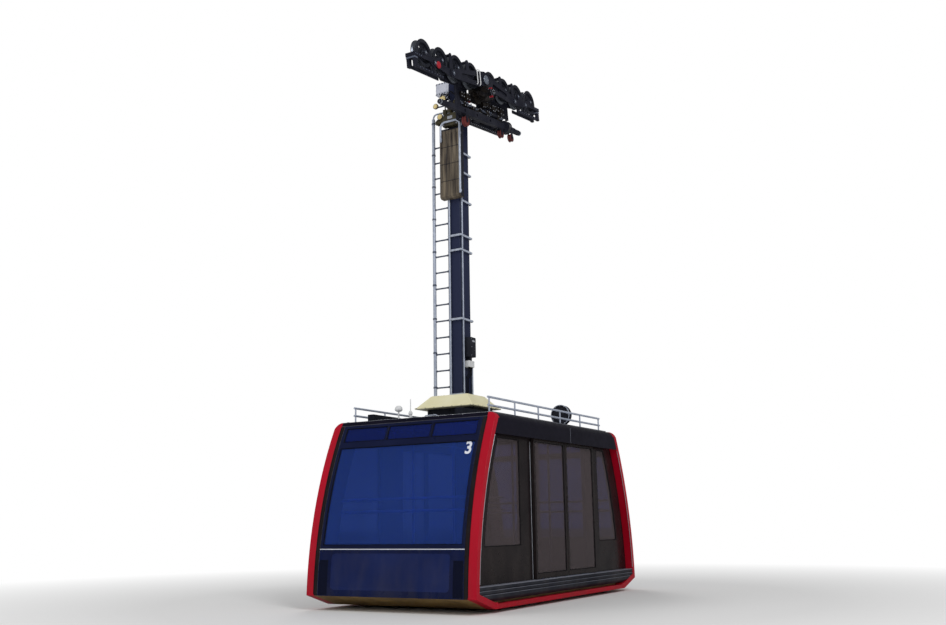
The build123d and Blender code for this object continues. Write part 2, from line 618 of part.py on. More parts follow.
def main_frame():
    """Two side plates, tied between the wheels, with the housing of the hanger pin."""
    eye = (0, PIN_RISE, 150)
    plate = Sketch()
    for side in (-1, 1):
        plate += link([eye, (side * HALF_X, HALF_PIN_Z, 72)])
        plate += link([(side * ROCKER_X, PIN_RISE - 60, 60), (side * ROCKER_X, TIE_Z, TIE_R + 12)])
    side_plate = across(plate, (FRAME_IN, FRAME_OUT))
    side_plate -= block((-eye[2], eye[2]), (0, 2 * FRAME_OUT), (-eye[2], FRAME_LOW))
    for side in (-1, 1):
        slot = link([(side * 300, PIN_RISE - 40, 42), (side * 760, HALF_PIN_Z + 45, 30)])
        side_plate -= across(slot, (FRAME_IN, FRAME_OUT))
        end = (side * HALF_X, FRAME_OUT, HALF_PIN_Z)
        side_plate += rod(end, (side * HALF_X, FRAME_OUT + 10, HALF_PIN_Z), 50)
    part = both_sides(side_plate)
    for x in (-ROCKER_X, ROCKER_X):
        part += rod((x, -FRAME_OUT, TIE_Z), (x, FRAME_OUT, TIE_Z), TIE_R)
    part += rod((0, -FRAME_OUT, PIN_RISE), (0, FRAME_OUT + HOUSING_OUT, PIN_RISE), HOUSING_R)
    part += rod((0, FRAME_OUT, PIN_RISE), (0, FRAME_OUT + 30, PIN_RISE), HOUSING_R + 30)
    return part - rod((0, -2 * FRAME_OUT, PIN_RISE), (0, 4 * FRAME_OUT, PIN_RISE), PIN_D / 2 + SEAT)


def rope_brake():
    """Caliper that can grip the track rope, with its spring packs."""
    half_x, low, arm_in, arm_out = 78, -170, ROPE_D / 2 + 15, 185
    yoke_low, reach = FRAME_LOW - 22, 2.4 * half_x
    section = [
        (arm_in, low), (arm_out - 60, low), (arm_out, low + 60), (arm_out, yoke_low),
        (arm_in, yoke_low),
    ]
    jaw = along(section, (-half_x, half_x))
    jaw += block((-reach, reach), (ROPE_D / 2 + GUIDE_GAP - 3, arm_in), (-42, -14))
    jaw += block((-reach, reach), (arm_in, arm_in + 18), (-90, -14))
    jaw += rod((0, arm_out, -40), (0, arm_out + 60, -40), 66)
    jaw += rod((0, arm_out + 60, -40), (0, arm_out + 88, -40), 48)
    for z in (-105, 25):
        jaw += rod((0, arm_out, z), (0, arm_out + 75, z), 11)
    for x in (-1, 1):
        jaw += rod((x * half_x, arm_out - 55, -80), (x * reach, arm_out - 55, -80), 40)
    yoke = block((-half_x, half_x), (-arm_out, arm_out), (yoke_low, FRAME_LOW))
    return both_sides(jaw) + yoke


def rope_guides():
    """Yoke over the rope at each end, with a guard bar beside the rope under two wheels."""
    tip = LAST_AXLE_X + 330
    inner = ROPE_D / 2 + GUIDE_GAP
    wide = (ROCKER_OUT, ROCKER_OUT + 12)
    arm = block((LAST_AXLE_X - 190, tip), wide, (100, 160))
    jaw = block((tip - 80, tip), (inner, ROCKER_OUT), (-75, 60))
    guard = block((LAST_AXLE_X - WHEEL_PITCH - 40, tip), (inner + 7, inner + 27), (-75, -20))
    lug_x = HALF_X + WHEEL_PITCH
    lug = block((lug_x - 20, lug_x + 20), (inner + 7, ROCKER_IN), (-75, 70))
    bridge = block((tip - 80, tip), (-ROCKER_OUT, ROCKER_OUT), (60, 160))
    guide = both_sides(arm + jaw + guard + lug) + bridge
    return guide + mirror(guide, Plane.YZ)


def haul_beam():
    """Beam under the rope with a socket for the haul rope at each end, on two arms."""
    z, neck = -HAUL_DROP, HAUL_HALF - SOCKET_L
    half_w = HAUL_BEAM_HALF_W
    body = across(link([(-neck, z, 42), (neck, z, 42), (0, z, 66)]), (-half_w, half_w))
    for x in (-0.55 * neck, -0.2 * neck, 0.2 * neck, 0.55 * neck):
        body -= rod((x, -half_w, z), (x, half_w, z), 26)
    for side in (-1, 1):
        tip = side * HAUL_HALF
        body += rod((side * (neck - 20), 0, z), (side * (HAUL_HALF - 60), 0, z), 48)
        body += rod((side * neck, 0, z), (tip, 0, z), 36)
        body -= rod((tip + side, 0, z), (side * (HAUL_HALF - 220), 0, z), HAUL_R)
        arm_x = side * ROCKER_X
        arm = link([(arm_x, z, 62), (arm_x - side * 60, PIN_RISE - 60, 60)])
        body += across(arm, (FRAME_OUT, FRAME_OUT + ARM_T))
        body += rod((arm_x, half_w, z), (arm_x, FRAME_OUT, z), 44)
    return body + roller_brackets()


def roller_place(radius):
    """Height of a roller's pin under the haul beam."""
    return -HAUL_DROP - 66 - 14 - radius


def roller_brackets():
    part = Part()
    inner = ROLLER_HALF_W + 5
    for x, radius in ROLLERS:
        z = roller_place(radius)
        cheek = link([(x, z, 26), (x, -HAUL_DROP, 34)])
        part += both_sides(across(cheek, (inner, HAUL_BEAM_HALF_W)))
        part += rod((x, -inner, z), (x, inner, z), ROLLER_PIN_R)
    return part


def roller(x, radius):
    """Grooved roller for a slack rope."""
    half, dip = ROLLER_HALF_W, 12
    bore = ROLLER_PIN_R + SEAT
    lines = Polyline((bore, half), (bore, -half), (radius, -half), (radius - dip, 0),
                     (radius, half), close=True)
    return Pos(x, 0, roller_place(radius)) * revolve(make_face(lines), Axis.Y)


# Cabin
SQUARE_HOOP = square_hoop()
HOOP = hoop()
OPENINGS = end_openings()
UPPER = (PANEL_TOP, CEILING)
END_FRAME = end_skin(WALL_T, WALL_IN, UPPER) - OPENINGS
END_GLASS = end_skin(GLASS_T, WALL_IN, UPPER, GLASS_SET) & OPENINGS
ENDS = [("end_hoop", HOOP), ("end_frame", END_FRAME), ("end_glass", END_GLASS),
        ("end_panel", end_panel())]
for node, part in ENDS:
    save(part, node + "_far", CABIN)
    save(mirror(part, Plane.YZ), node + "_near", CABIN)

SIDES = [("side_wall", side_wall()), ("side_glass", side_glass()), ("door_header", header())]
for node, part in SIDES:
    save(part, node + "_left", CABIN)
    save(mirror(part, Plane.XZ), node + "_right", CABIN)

for node, part in [("door", leaf()), ("door_glass", leaf_glass())]:
    for end, shown in [("far", part), ("near", mirror(part, Plane.YZ.offset(DOOR_X)))]:
        save(shown, f"{node}_left_{end}", CABIN)
        save(mirror(shown, Plane.XZ), f"{node}_right_{end}", CABIN)

save(both_sides(fender()), "fenders", CABIN)
save(both_sides(sill()), "sill_rails", CABIN)
save(floor(), "floor", CABIN)
save(roof(), "roof", CABIN)
save(interior_rails(), "interior_rails", CABIN)
save(roof_rail(), "roof_rails", CABIN)
save(roof_fittings(), "roof_fittings", CABIN)

# Hanger
save(roof_beams(), "roof_beams", CABIN)
save(foot_cover(), "foot_cover", CABIN)
save(column(), "hanger_column", CABIN)
save(hanger_head(), "hanger_head", CABIN)
save(hanger_pin(), "hanger_pin", CABIN)
save(head_casing(), "head_casing", CABIN)
save(hydraulic_unit(), "hydraulic_unit", CABIN)
save(ladder(), "ladder", CABIN)
save(conduits(), "conduits", CABIN)
save(junction_box(), "junction_box", CABIN)

# Carriage
ROCKERS = [-HALF_X - WHEEL_PITCH, -ROCKER_X, ROCKER_X, HALF_X + WHEEL_PITCH]
for number, x in enumerate(ROCKERS, start=1):
    save(rocker(x), f"rocker_{number}", CARRIAGE)
    save(wheel(x - WHEEL_PITCH / 2), f"wheel_{2 * number - 1}", CARRIAGE)
    save(wheel(x + WHEEL_PITCH / 2), f"wheel_{2 * number}", CARRIAGE)
save(half_beam(-HALF_X), "half_beam_near", CARRIAGE)
save(half_beam(HALF_X), "half_beam_far", CARRIAGE)
save(main_frame(), "main_frame", CARRIAGE)
save(rope_brake(), "rope_brake", CARRIAGE)
save(rope_guides(), "rope_guides", CARRIAGE)
save(haul_beam(), "haul_beam", CARRIAGE)
for number, (x, radius) in enumerate(ROLLERS, start=1):
    save(roller(x, radius), f"guide_roller_{number}", CARRIAGE)
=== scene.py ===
# %% [markdown]
# # A cable car cabin, dressed for its picture
# The solids come from the CAD model and never move. This script copies them, rounds
# their edges, gives them finishes made of nodes, and adds the trim that a CAD model
# leaves out: seals, screws, bolts, springs, hoses, wound rope and a plain numeral.

# %% Load the solids
import json
import math
import bpy
import bmesh
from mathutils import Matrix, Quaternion, Vector

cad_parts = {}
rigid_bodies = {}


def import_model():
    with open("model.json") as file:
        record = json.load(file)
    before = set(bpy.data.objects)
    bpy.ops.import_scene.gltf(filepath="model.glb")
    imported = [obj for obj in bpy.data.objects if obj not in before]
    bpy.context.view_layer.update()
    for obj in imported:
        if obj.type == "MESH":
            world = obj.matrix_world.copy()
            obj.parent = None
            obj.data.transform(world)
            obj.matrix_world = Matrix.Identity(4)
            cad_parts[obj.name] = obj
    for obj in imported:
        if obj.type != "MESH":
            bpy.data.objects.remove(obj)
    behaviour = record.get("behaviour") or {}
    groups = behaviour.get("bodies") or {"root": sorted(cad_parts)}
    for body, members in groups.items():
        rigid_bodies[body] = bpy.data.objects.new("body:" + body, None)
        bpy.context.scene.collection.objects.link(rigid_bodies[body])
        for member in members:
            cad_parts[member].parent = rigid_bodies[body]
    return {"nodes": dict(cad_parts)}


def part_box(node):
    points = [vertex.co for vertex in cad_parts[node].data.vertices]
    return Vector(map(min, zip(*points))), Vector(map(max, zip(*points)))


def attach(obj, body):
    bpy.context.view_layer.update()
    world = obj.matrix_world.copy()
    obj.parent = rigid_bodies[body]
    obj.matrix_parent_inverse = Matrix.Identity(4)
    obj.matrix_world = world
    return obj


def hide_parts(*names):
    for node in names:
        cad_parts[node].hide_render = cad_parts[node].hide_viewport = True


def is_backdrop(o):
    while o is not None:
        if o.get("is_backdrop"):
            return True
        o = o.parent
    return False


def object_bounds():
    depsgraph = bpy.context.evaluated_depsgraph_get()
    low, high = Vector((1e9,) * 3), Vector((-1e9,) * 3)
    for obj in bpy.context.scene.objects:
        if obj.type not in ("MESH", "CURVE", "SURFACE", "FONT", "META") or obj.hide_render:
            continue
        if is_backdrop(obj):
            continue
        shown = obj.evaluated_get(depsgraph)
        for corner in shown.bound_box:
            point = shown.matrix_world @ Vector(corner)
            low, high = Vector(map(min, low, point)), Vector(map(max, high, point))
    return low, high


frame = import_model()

cad_low, cad_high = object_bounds()
print("CAD box", [round(v, 3) for v in cad_high - cad_low], "m,", len(frame["nodes"]), "nodes")

# %% [markdown]
# ## Two frames of reference
# The cabin hangs plumb, while the carriage lies along a rope that rises eight degrees.
# Every piece is drawn in the row frame, so two small functions carry a point from the
# cabin's own drawing, or from the carriage's, to its place. Millimetres go in and
# metres come out, because the drawings are in millimetres.

# %% Points of the cabin and of the carriage
SLOPE = math.radians(8)
PIN_X = -200 * math.sin(SLOPE)
ROPE_TO_BASE = 8400


def at_cabin(x, y, z):
    return Vector((x + PIN_X, y, z - ROPE_TO_BASE)) / 1000


def on_carriage(x, y, z):
    run = x * math.cos(SLOPE) - z * math.sin(SLOPE)
    rise = x * math.sin(SLOPE) + z * math.cos(SLOPE)
    return Vector((run, y, rise))


def at_carriage(x, y, z):
    return on_carriage(x, y, z) / 1000


def drawn_on(body):
    """The drawing that a body's trim is given in: the carriage's or the cabin's."""
    return at_carriage if body.startswith(("carriage", "wheel")) else at_cabin


# %% [markdown]
# The ends of the cabin bulge: seen from the side each is one arc through the knee, the
# bulge and the roof edge. The circle through three points gives that arc, and with it
# the place and the outward direction of any spot on an end, which every seal, strip
# and screw on an end needs.

# %% The arc of the cabin's ends
KNEE, BULGE, ROOF_EDGE = (2710, 150), (2546, 1375), (2085, 2600)
CEILING, ROOF_Z, WALL_OUT, HOOP_OUT = 2540, 2600, 1250, 1380


def circle_through(a, b, c):
    """Centre and radius of the circle through three XZ points."""
    d = 2 * (a[0] * (b[1] - c[1]) + b[0] * (c[1] - a[1]) + c[0] * (a[1] - b[1]))
    squares = [p[0] ** 2 + p[1] ** 2 for p in (a, b, c)]
    x = (squares[0] * (b[1] - c[1]) + squares[1] * (c[1] - a[1]) + squares[2] * (a[1] - b[1])) / d
    z = (squares[0] * (c[0] - b[0]) + squares[1] * (a[0] - c[0]) + squares[2] * (b[0] - a[0])) / d
    return x, z, math.hypot(a[0] - x, a[1] - z)


ARC_X, ARC_Z, ARC_R = circle_through(KNEE, BULGE, ROOF_EDGE)


def end_x(z, back=0):
    """X of the end surface at a height of the cabin, or of the arc that lies back from it."""
    return ARC_X + math.sqrt((ARC_R - back) ** 2 - (z - ARC_Z) ** 2)


def on_end(side, y, z, out=0):
    """Spot on an end of the cabin's drawing, pushed out of its surface."""
    return side * (end_x(z) + out), y, z


def end_normal(side, z):
    lean = (z - ARC_Z) / ARC_R
    return Vector((side * math.sqrt(1 - lean * lean), 0, lean))


print("end arc radius", round(ARC_R), "mm, bulge at", round(end_x(1375)))

# %% [markdown]
# ## Finishes
# Real paint is never one flat colour. Each finish mixes two close colours by a slow
# noise, breaks up its gloss with a quicker one and raises a very fine grain as bump.
# One helper builds that chain, and each finish only states its numbers. The patterns
# read Object coordinates, so they stay put when a door slides. Dark coated sheet keeps
# a low specular level, or a pale studio would turn it milky.

# %% A helper for finishes
FILM_LOW, FILM_HIGH = -8.4, -7.2
finishes = {}


def link(tree, source, target):
    tree.links.new(source, target)


def node_in(tree, kind, values, sources, **traits):
    """New node: its own traits, then constants on its sockets and links into them."""
    node = tree.nodes.new(kind)
    for trait, value in traits.items():
        setattr(node, trait, value)
    for socket, value in values.items():
        node.inputs[socket].default_value = value
    for socket, source in sources.items():
        link(tree, source, node.inputs[socket])
    return node


def noise(tree, coords, scale, detail, stretch):
    """Noise on Object coordinates, stretched per axis when asked."""
    if stretch:
        mapping = node_in(tree, "ShaderNodeMapping", {"Scale": stretch}, {"Vector": coords})
        coords = mapping.outputs["Vector"]
    made = node_in(tree, "ShaderNodeTexNoise", {"Scale": scale, "Detail": detail}, {"Vector": coords})
    return made.outputs["Fac"]


def ramp(tree, factor, low, high):
    """Colour ramp between two colours, over the middle third of the factor."""
    node = node_in(tree, "ShaderNodeValToRGB", {}, {"Fac": factor})
    for stop, place, colour in zip(node.color_ramp.elements, (0.35, 0.65), (low, high)):
        stop.position = place
        stop.color = (*colour, 1)
    return node.outputs["Color"]


def span(tree, factor, low, high, start=0.3, end=0.7):
    """Carry a factor to another range."""
    ends = {"From Min": start, "From Max": end, "To Min": low, "To Max": high}
    return node_in(tree, "ShaderNodeMapRange", ends, {"Value": factor}).outputs["Result"]


def lay_low_film(tree, coords, colour, low_film):
    """Lay a broken film over a colour, thickest low on the cabin: grey dust on the dark sheet, and a darker
    red on the red, so the red darkens towards the bottom.
    """
    film, most = low_film
    height = node_in(tree, "ShaderNodeSeparateXYZ", {}, {"Vector": coords}).outputs["Z"]
    low = span(tree, height, most, 0.0, FILM_LOW, FILM_HIGH)
    patch = span(tree, noise(tree, coords, 5.0, 6, (1, 1, 0.35)), 0.0, 1.0, 0.42, 0.72)
    share = node_in(tree, "ShaderNodeMath", {}, {0: low, 1: patch}, operation="MULTIPLY")
    mixed = node_in(tree, "ShaderNodeMix", {"B": (*film, 1)}, {"Factor": share.outputs[0], "A": colour},
                    data_type="RGBA")
    return mixed.outputs["Result"]


def finish(name, colour, other, rough, metal=0.0, coat=0.0, patch=1.6, grain=240.0, relief=0.0004,
           stretch=None, shine=0.5, low_film=None):
    """A finish of two close colours with broken gloss and a fine grain."""
    made = bpy.data.materials.new(name)
    made.use_nodes = True
    tree = made.node_tree
    shader = tree.nodes["Principled BSDF"]
    coords = tree.nodes.new("ShaderNodeTexCoord").outputs["Object"]
    paint = ramp(tree, noise(tree, coords, patch, 4, stretch), colour, other)
    if low_film:
        paint = lay_low_film(tree, coords, paint, low_film)
    link(tree, paint, shader.inputs["Base Color"])
    gloss = span(tree, noise(tree, coords, patch * 6, 3, stretch), rough[0], rough[1])
    link(tree, gloss, shader.inputs["Roughness"])
    if relief:
        bump = node_in(tree, "ShaderNodeBump", {"Strength": 0.3, "Distance": relief},
                       {"Height": noise(tree, coords, grain, 2, stretch)})
        link(tree, bump.outputs["Normal"], shader.inputs["Normal"])
    for socket, value in (("Metallic", metal), ("Coat Weight", coat), ("Specular IOR Level", shine)):
        shader.inputs[socket].default_value = value
    finishes[name] = made
    return made


# %% [markdown]
# The shell is a red gelcoat round dark glazing. The red is deep, so its two colours
# differ little and a thin clear coat gives the soft light along the hoops. The navy
# panel, the plum header and the black frames are close in tone, as in the photograph,
# and only their gloss tells them apart. A little grey dust lies low on the dark sheet,
# and the red is mixed with a darker red towards the bottom of the cabin.

# %% Paints and sheets
DUST = ((0.10, 0.09, 0.08), 0.22)
# The red is mixed with a darker red towards the bottom of the cabin.
finish("hoop_red", (0.400, 0.0010, 0.0130), (0.470, 0.0018, 0.0190), (0.30, 0.44), coat=0.1,
       patch=0.9, shine=0.2, low_film=((0.20, 0.03, 0.03), 0.35))
finish("panel_navy", (0.0040, 0.0080, 0.044), (0.0060, 0.0120, 0.060), (0.24, 0.38), shine=0.15,
       patch=1.3, low_film=DUST)
finish("field_navy", (0.0080, 0.0160, 0.082), (0.0110, 0.0210, 0.100), (0.30, 0.46), shine=0.15, low_film=DUST)
finish("corner_black", (0.0025, 0.0040, 0.0160), (0.0035, 0.0055, 0.0220), (0.3, 0.44), shine=0.15)
finish("frame_navy", (0.0050, 0.0080, 0.034), (0.0070, 0.0110, 0.044), (0.26, 0.40), shine=0.15)
finish("leaf_gloss", (0.0150, 0.0110, 0.0120), (0.0240, 0.0180, 0.0180), (0.20, 0.32), shine=0.2,
       patch=2.2, stretch=(1, 1, 0.5))
finish("wall_gloss", (0.0100, 0.0075, 0.0090), (0.0190, 0.0140, 0.0150), (0.16, 0.28), shine=0.2,
       patch=2.2, low_film=((0.06, 0.05, 0.045), 0.35))
finish("header_plum", (0.0040, 0.0035, 0.0110), (0.0070, 0.0058, 0.0160), (0.28, 0.42), shine=0.15)
finish("lining_grey", (0.20, 0.195, 0.20), (0.25, 0.245, 0.25), (0.5, 0.65), patch=3)
finish("fender_grey", (0.018, 0.020, 0.030), (0.028, 0.030, 0.042), (0.5, 0.7), grain=420,
       relief=0.0006, stretch=(0.3, 1, 1), shine=0.2, low_film=((0.10, 0.095, 0.09), 0.4))
# A paler grey: a painted highlight on the upper faces of the fender's ribs, and the strip over the header
# joint.
finish("fender_edge", (0.15, 0.16, 0.20), (0.22, 0.23, 0.28), (0.45, 0.6), shine=0.3, patch=3,
       stretch=(0.2, 1, 1))
# Gold-brown on the floor and its lip under each end: painted light bounced up from the ground.
finish("base_ochre", (0.30, 0.19, 0.060), (0.19, 0.115, 0.040), (0.5, 0.7), patch=2.4)
finish("roof_sheet", (0.10, 0.105, 0.13), (0.15, 0.155, 0.18), (0.42, 0.6), metal=0.2, patch=3)
# The galvanised grey leans blue: partly its own zinc grey, partly painted blue shade.
finish("galvanised", (0.42, 0.47, 0.58), (0.54, 0.59, 0.70), (0.35, 0.55), metal=0.3, patch=14,
       grain=90, relief=0.0002)
finish("dull_zinc", (0.10, 0.12, 0.17), (0.16, 0.18, 0.24), (0.4, 0.6), metal=0.4, patch=14,
       grain=90, relief=0.0002)
finish("white_moulding", (0.66, 0.67, 0.68), (0.76, 0.77, 0.78), (0.35, 0.5), patch=5, shine=0.3)
finish("beam_paint", (0.007, 0.009, 0.016), (0.012, 0.014, 0.023), (0.45, 0.62), patch=2.5, shine=0.2)
finish("cover_cream", (0.84, 0.79, 0.50), (0.90, 0.86, 0.60), (0.38, 0.55), patch=2.2, shine=0.3)
finish("column_paint", (0.0110, 0.0150, 0.0420), (0.0190, 0.0250, 0.0620), (0.34, 0.55), patch=1.1,
       stretch=(1, 1, 0.35), shine=0.2)
finish("boss_grey", (0.46, 0.48, 0.56), (0.58, 0.60, 0.68), (0.4, 0.55), patch=4, shine=0.3)
finish("turned_steel", (0.38, 0.43, 0.52), (0.50, 0.55, 0.63), (0.25, 0.42), metal=0.8, patch=6)
finish("casing_bronze", (0.190, 0.155, 0.110), (0.038, 0.030, 0.026), (0.35, 0.6), metal=0.1,
       patch=3.4, stretch=(1, 5, 0.4), shine=0.3)
finish("pump_olive", (0.080, 0.068, 0.030), (0.030, 0.025, 0.016), (0.4, 0.65), patch=7)
finish("box_grey", (0.0110, 0.0120, 0.0200), (0.0200, 0.0220, 0.0320), (0.4, 0.55), patch=5, shine=0.25)
finish("carriage_paint", (0.009, 0.010, 0.020), (0.020, 0.021, 0.032), (0.42, 0.65), patch=4, shine=0.22)
finish("greasy_iron", (0.007, 0.007, 0.010), (0.026, 0.020, 0.016), (0.28, 0.6), metal=0.2,
       patch=8, shine=0.3)
finish("wheel_iron", (0.011, 0.013, 0.022), (0.024, 0.026, 0.036), (0.38, 0.58), metal=0.2,
       patch=9, shine=0.3)
finish("worn_groove", (0.20, 0.22, 0.26), (0.11, 0.12, 0.14), (0.22, 0.4), metal=0.9, patch=12)
finish("seal_rubber", (0.0040, 0.0040, 0.0060), (0.0070, 0.0070, 0.0090), (0.5, 0.7), patch=6, shine=0.2)
finish("roller_rubber", (0.150, 0.022, 0.020), (0.060, 0.014, 0.014), (0.5, 0.7), patch=10, shine=0.3)
finish("bare_aluminium", (0.52, 0.55, 0.62), (0.62, 0.65, 0.71), (0.25, 0.4), metal=0.5, patch=10,
       stretch=(1, 0.2, 1))
finish("signal_red", (0.42, 0.004, 0.020), (0.32, 0.004, 0.014), (0.35, 0.5), coat=0.2, patch=8)
finish("marking_white", (0.74, 0.77, 0.86), (0.80, 0.83, 0.90), (0.4, 0.5), patch=8)
finish("mat_grey", (0.030, 0.030, 0.035), (0.045, 0.045, 0.050), (0.7, 0.85), patch=9, grain=160,
       relief=0.001)
finish("rope_steel", (0.060, 0.062, 0.070), (0.14, 0.14, 0.15), (0.3, 0.5), metal=0.8, patch=30)
finish("lamp_amber", (0.80, 0.62, 0.26), (0.90, 0.76, 0.40), (0.15, 0.3), patch=6)
print(len(finishes), "finishes")

# %% [markdown]
# Safety glass on such a cabin carries a coloured film. Most light crosses the pane and
# takes its tint, and the rest is scattered by the film as a faint veil, which keeps the
# windscreen navy even where a dark wall stands behind it. The side panes are a brownish
# grey: partly their own smoke tint, partly a painted reflection of brown rock.

# %% Tinted glass


def glazing(name, tint, deep, index, clear=1.0):
    """Tinted glass with faint wiping streaks in its gloss. What is not clear is a veil."""
    made = finish(name, tint, deep, (0.0, 0.03), patch=0.8, relief=0, stretch=(1, 1, 0.4))
    shader = made.node_tree.nodes["Principled BSDF"]
    shader.inputs["Transmission Weight"].default_value = clear
    shader.inputs["IOR"].default_value = index
    return made


glazing("glass_blue", (0.055, 0.130, 0.520), (0.045, 0.110, 0.460), 1.18, 0.75)
glazing("glass_plum", (0.036, 0.072, 0.400), (0.030, 0.060, 0.340), 1.18, 0.79)
# Brownish grey side panes: smoke tint with a painted reflection of brown rock.
glazing("glass_smoke", (0.215, 0.175, 0.185), (0.175, 0.140, 0.150), 1.18, 0.72)
print(len(finishes), "finishes with the glass")

# %% [markdown]
# ## Dressing the solids
# A CAD mesh is loose triangles with knife-sharp edges, and a real edge always catches
# a thin line of light. So each solid is copied, its triangles are welded and its flat
# faces joined, and a small Bevel rounds whatever is sharper than thirty degrees. The
# copy stands in for the solid and rides on the same body. Where two finishes meet
# inside one flat face, the copy is cut along a plane first.

# %% Weld, round and stand in


def body_of(node):
    return frame["nodes"][node].parent.name.removeprefix("body:")


def weld(mesh, cuts):
    """Merge the loose triangles of a copied CAD mesh, join its flat faces and cut it."""
    work = bmesh.new()
    work.from_mesh(mesh)
    bmesh.ops.remove_doubles(work, verts=work.verts, dist=0.00002)
    bmesh.ops.dissolve_limit(work, angle_limit=math.radians(0.4), verts=work.verts, edges=work.edges)
    for place, across in cuts:
        every = work.verts[:] + work.edges[:] + work.faces[:]
        bmesh.ops.bisect_plane(work, geom=every, plane_co=place, plane_no=across, dist=0.00001)
    work.to_mesh(mesh)
    work.free()


def shade(mesh, degrees=32):
    """Smooth faces that meet at less than the given angle."""
    mesh.shade_smooth()
    mesh.set_sharp_from_angle(angle=math.radians(degrees))


def round_off(piece, width):
    """A small live Bevel on whatever is sharper than thirty degrees."""
    if not width:
        return
    bevel = piece.modifiers.new("round edges", "BEVEL")
    bevel.width = width
    bevel.segments = 2
    bevel.limit_method = "ANGLE"
    bevel.angle_limit = math.radians(30)


def dress(node, looks, edge, pick=None, cuts=()):
    """Stand in for a CAD solid. pick chooses a look face by face, in cabin millimetres."""
    mesh = frame["nodes"][node].data.copy()
    mesh.materials.clear()
    weld(mesh, cuts)
    piece = bpy.data.objects.new("shown_" + node, mesh)
    bpy.context.scene.collection.objects.link(piece)
    for look in looks.split():
        mesh.materials.append(finishes[look])
    if pick:
        for face in mesh.polygons:
            spot = face.center * 1000 + Vector((-PIN_X, 0, ROPE_TO_BASE))
            face.material_index = pick(spot, face.normal)
    round_off(piece, edge)
    shade(mesh)
    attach(piece, body_of(node))
    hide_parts(node)


# %% Everything that takes one finish
ONE_FINISH = [
    ("sill_rails", "hoop_red", "red_shell", 0.006),
    ("end_frame_near end_frame_far", "frame_navy", "dark_frame", 0.003),
    ("door_left_near door_left_far door_right_near door_right_far", "leaf_gloss", "dark_frame", 0.003),
    ("door_header_left door_header_right", "header_plum", "dark_frame", 0.004),
    ("side_glass_left side_glass_right", "glass_smoke", "tinted_glass", 0),
    ("door_glass_left_near door_glass_left_far", "glass_smoke", "tinted_glass", 0),
    ("door_glass_right_near door_glass_right_far", "glass_smoke", "tinted_glass", 0),
    # The floor's gold-brown is painted bounce light from the ground.
    ("floor", "base_ochre", "floor_panel", 0.004),
    ("interior_rails", "galvanised", "galvanised_steel", 0),
    ("roof_rails", "galvanised", "galvanised_steel", 0.002),
    ("roof_beams", "beam_paint", "roof_beam_paint", 0.005),
    ("hanger_column", "column_paint", "hanger_paint", 0.003),
    ("hanger_pin", "turned_steel", "bright_steel", 0.004),
    ("hydraulic_unit", "pump_olive", "hydraulic_paint", 0.004),
    ("main_frame half_beam_near half_beam_far", "carriage_paint", "carriage_paint", 0.003),
    ("rocker_1 rocker_2 rocker_3 rocker_4", "carriage_paint", "carriage_paint", 0.003),
    ("rope_guides haul_beam", "carriage_paint", "carriage_paint", 0.003),
    ("rope_brake", "greasy_iron", "brake_paint", 0.003),
    ("guide_roller_1 guide_roller_2 guide_roller_3", "roller_rubber", "roller_rubber", 0.002),
]
for nodes, look, slot, edge in ONE_FINISH:
    for node in nodes.split():
        dress(node, look, edge)
print(sum(len(row[0].split()) for row in ONE_FINISH), "solids dressed in one finish")

# %% [markdown]
# Some solids show more than one finish. The hoops are red down the sides and dark along
# the top bar, the lower panel has a lighter field between two darker corners, and the
# walls are dark gloss outside and pale lining inside. The upper faces of the fender's
# ribs take a paler grey, a painted highlight. A rope wheel is painted iron with a groove
# that the rope keeps bright.

# %% Solids of several finishes
SIDES, ACROSS = (-1, 1), Vector((0, 1, 0))


def on_hoop(spot, normal):
    return 1 if abs(spot.y) < WALL_OUT else 0


def on_panel(spot, normal):
    depth = end_x(spot.z) - abs(spot.x)
    if depth < 3 or depth > 10:
        return 0
    return 1 if abs(spot.y) < 1000 else 2


def on_wall(spot, normal):
    return 1 if abs(spot.y) < WALL_OUT - 40 and abs(normal.y) > 0.7 else 0


# Upper faces of the fender's ribs take the paler grey: a painted highlight.
def on_fender_painted_highlight(spot, normal):
    return 1 if normal.z > 0.35 and abs(spot.y) > WALL_OUT + 50 else 0


HOOP_CUTS = [(Vector((0, side * WALL_OUT / 1000, 0)), ACROSS) for side in SIDES]
for end in ("near", "far"):
    dress("end_hoop_" + end, "hoop_red header_plum", 0.006, on_hoop, HOOP_CUTS)
    dress("end_panel_" + end, "panel_navy field_navy corner_black", 0.003, on_panel)
    dress("end_glass_" + end, "glass_blue glass_plum", 0,
          lambda spot, normal: 1 if spot.z > 2240 else 0)
for side in ("left", "right"):
    dress("side_wall_" + side, "wall_gloss lining_grey", 0.003, on_wall)
dress("fenders", "fender_grey fender_edge", 0.003, on_fender_painted_highlight)
dress("roof", "roof_sheet lining_grey", 0.003,
      lambda spot, normal: 1 if normal.z < -0.9 and spot.z < CEILING + 5 else 0)

BOSS_FACE, SMALL_BOX_TOP = 537, 3750
dress("hanger_head", "column_paint boss_grey", 0.004,
      lambda spot, normal: 1 if spot.y > BOSS_FACE else 0)
dress("junction_box", "box_grey white_moulding", 0.004,
      lambda spot, normal: 1 if spot.z < SMALL_BOX_TOP else 0)
dress("head_casing", "casing_bronze box_grey", 0.004,
      lambda spot, normal: 1 if abs(normal.y) > 0.7 or normal.z > 0.3 else 0)
# The outer stile, on the ladder's left, takes the paler galvanised finish and the rest the dull one: painted
# sunlight on that stile.
dress("ladder", "dull_zinc galvanised", 0.002,
      lambda spot, normal: 1 if spot.y > 800 else 0)
dress("conduits", "dull_zinc galvanised", 0.002,
      lambda spot, normal: 1 if spot.x < -190 or spot.y < 292 else 0)


def middle_of(node):
    """Middle of a node's box, in millimetres."""
    low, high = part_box(node)
    return (Vector(low) + Vector(high)) * 500


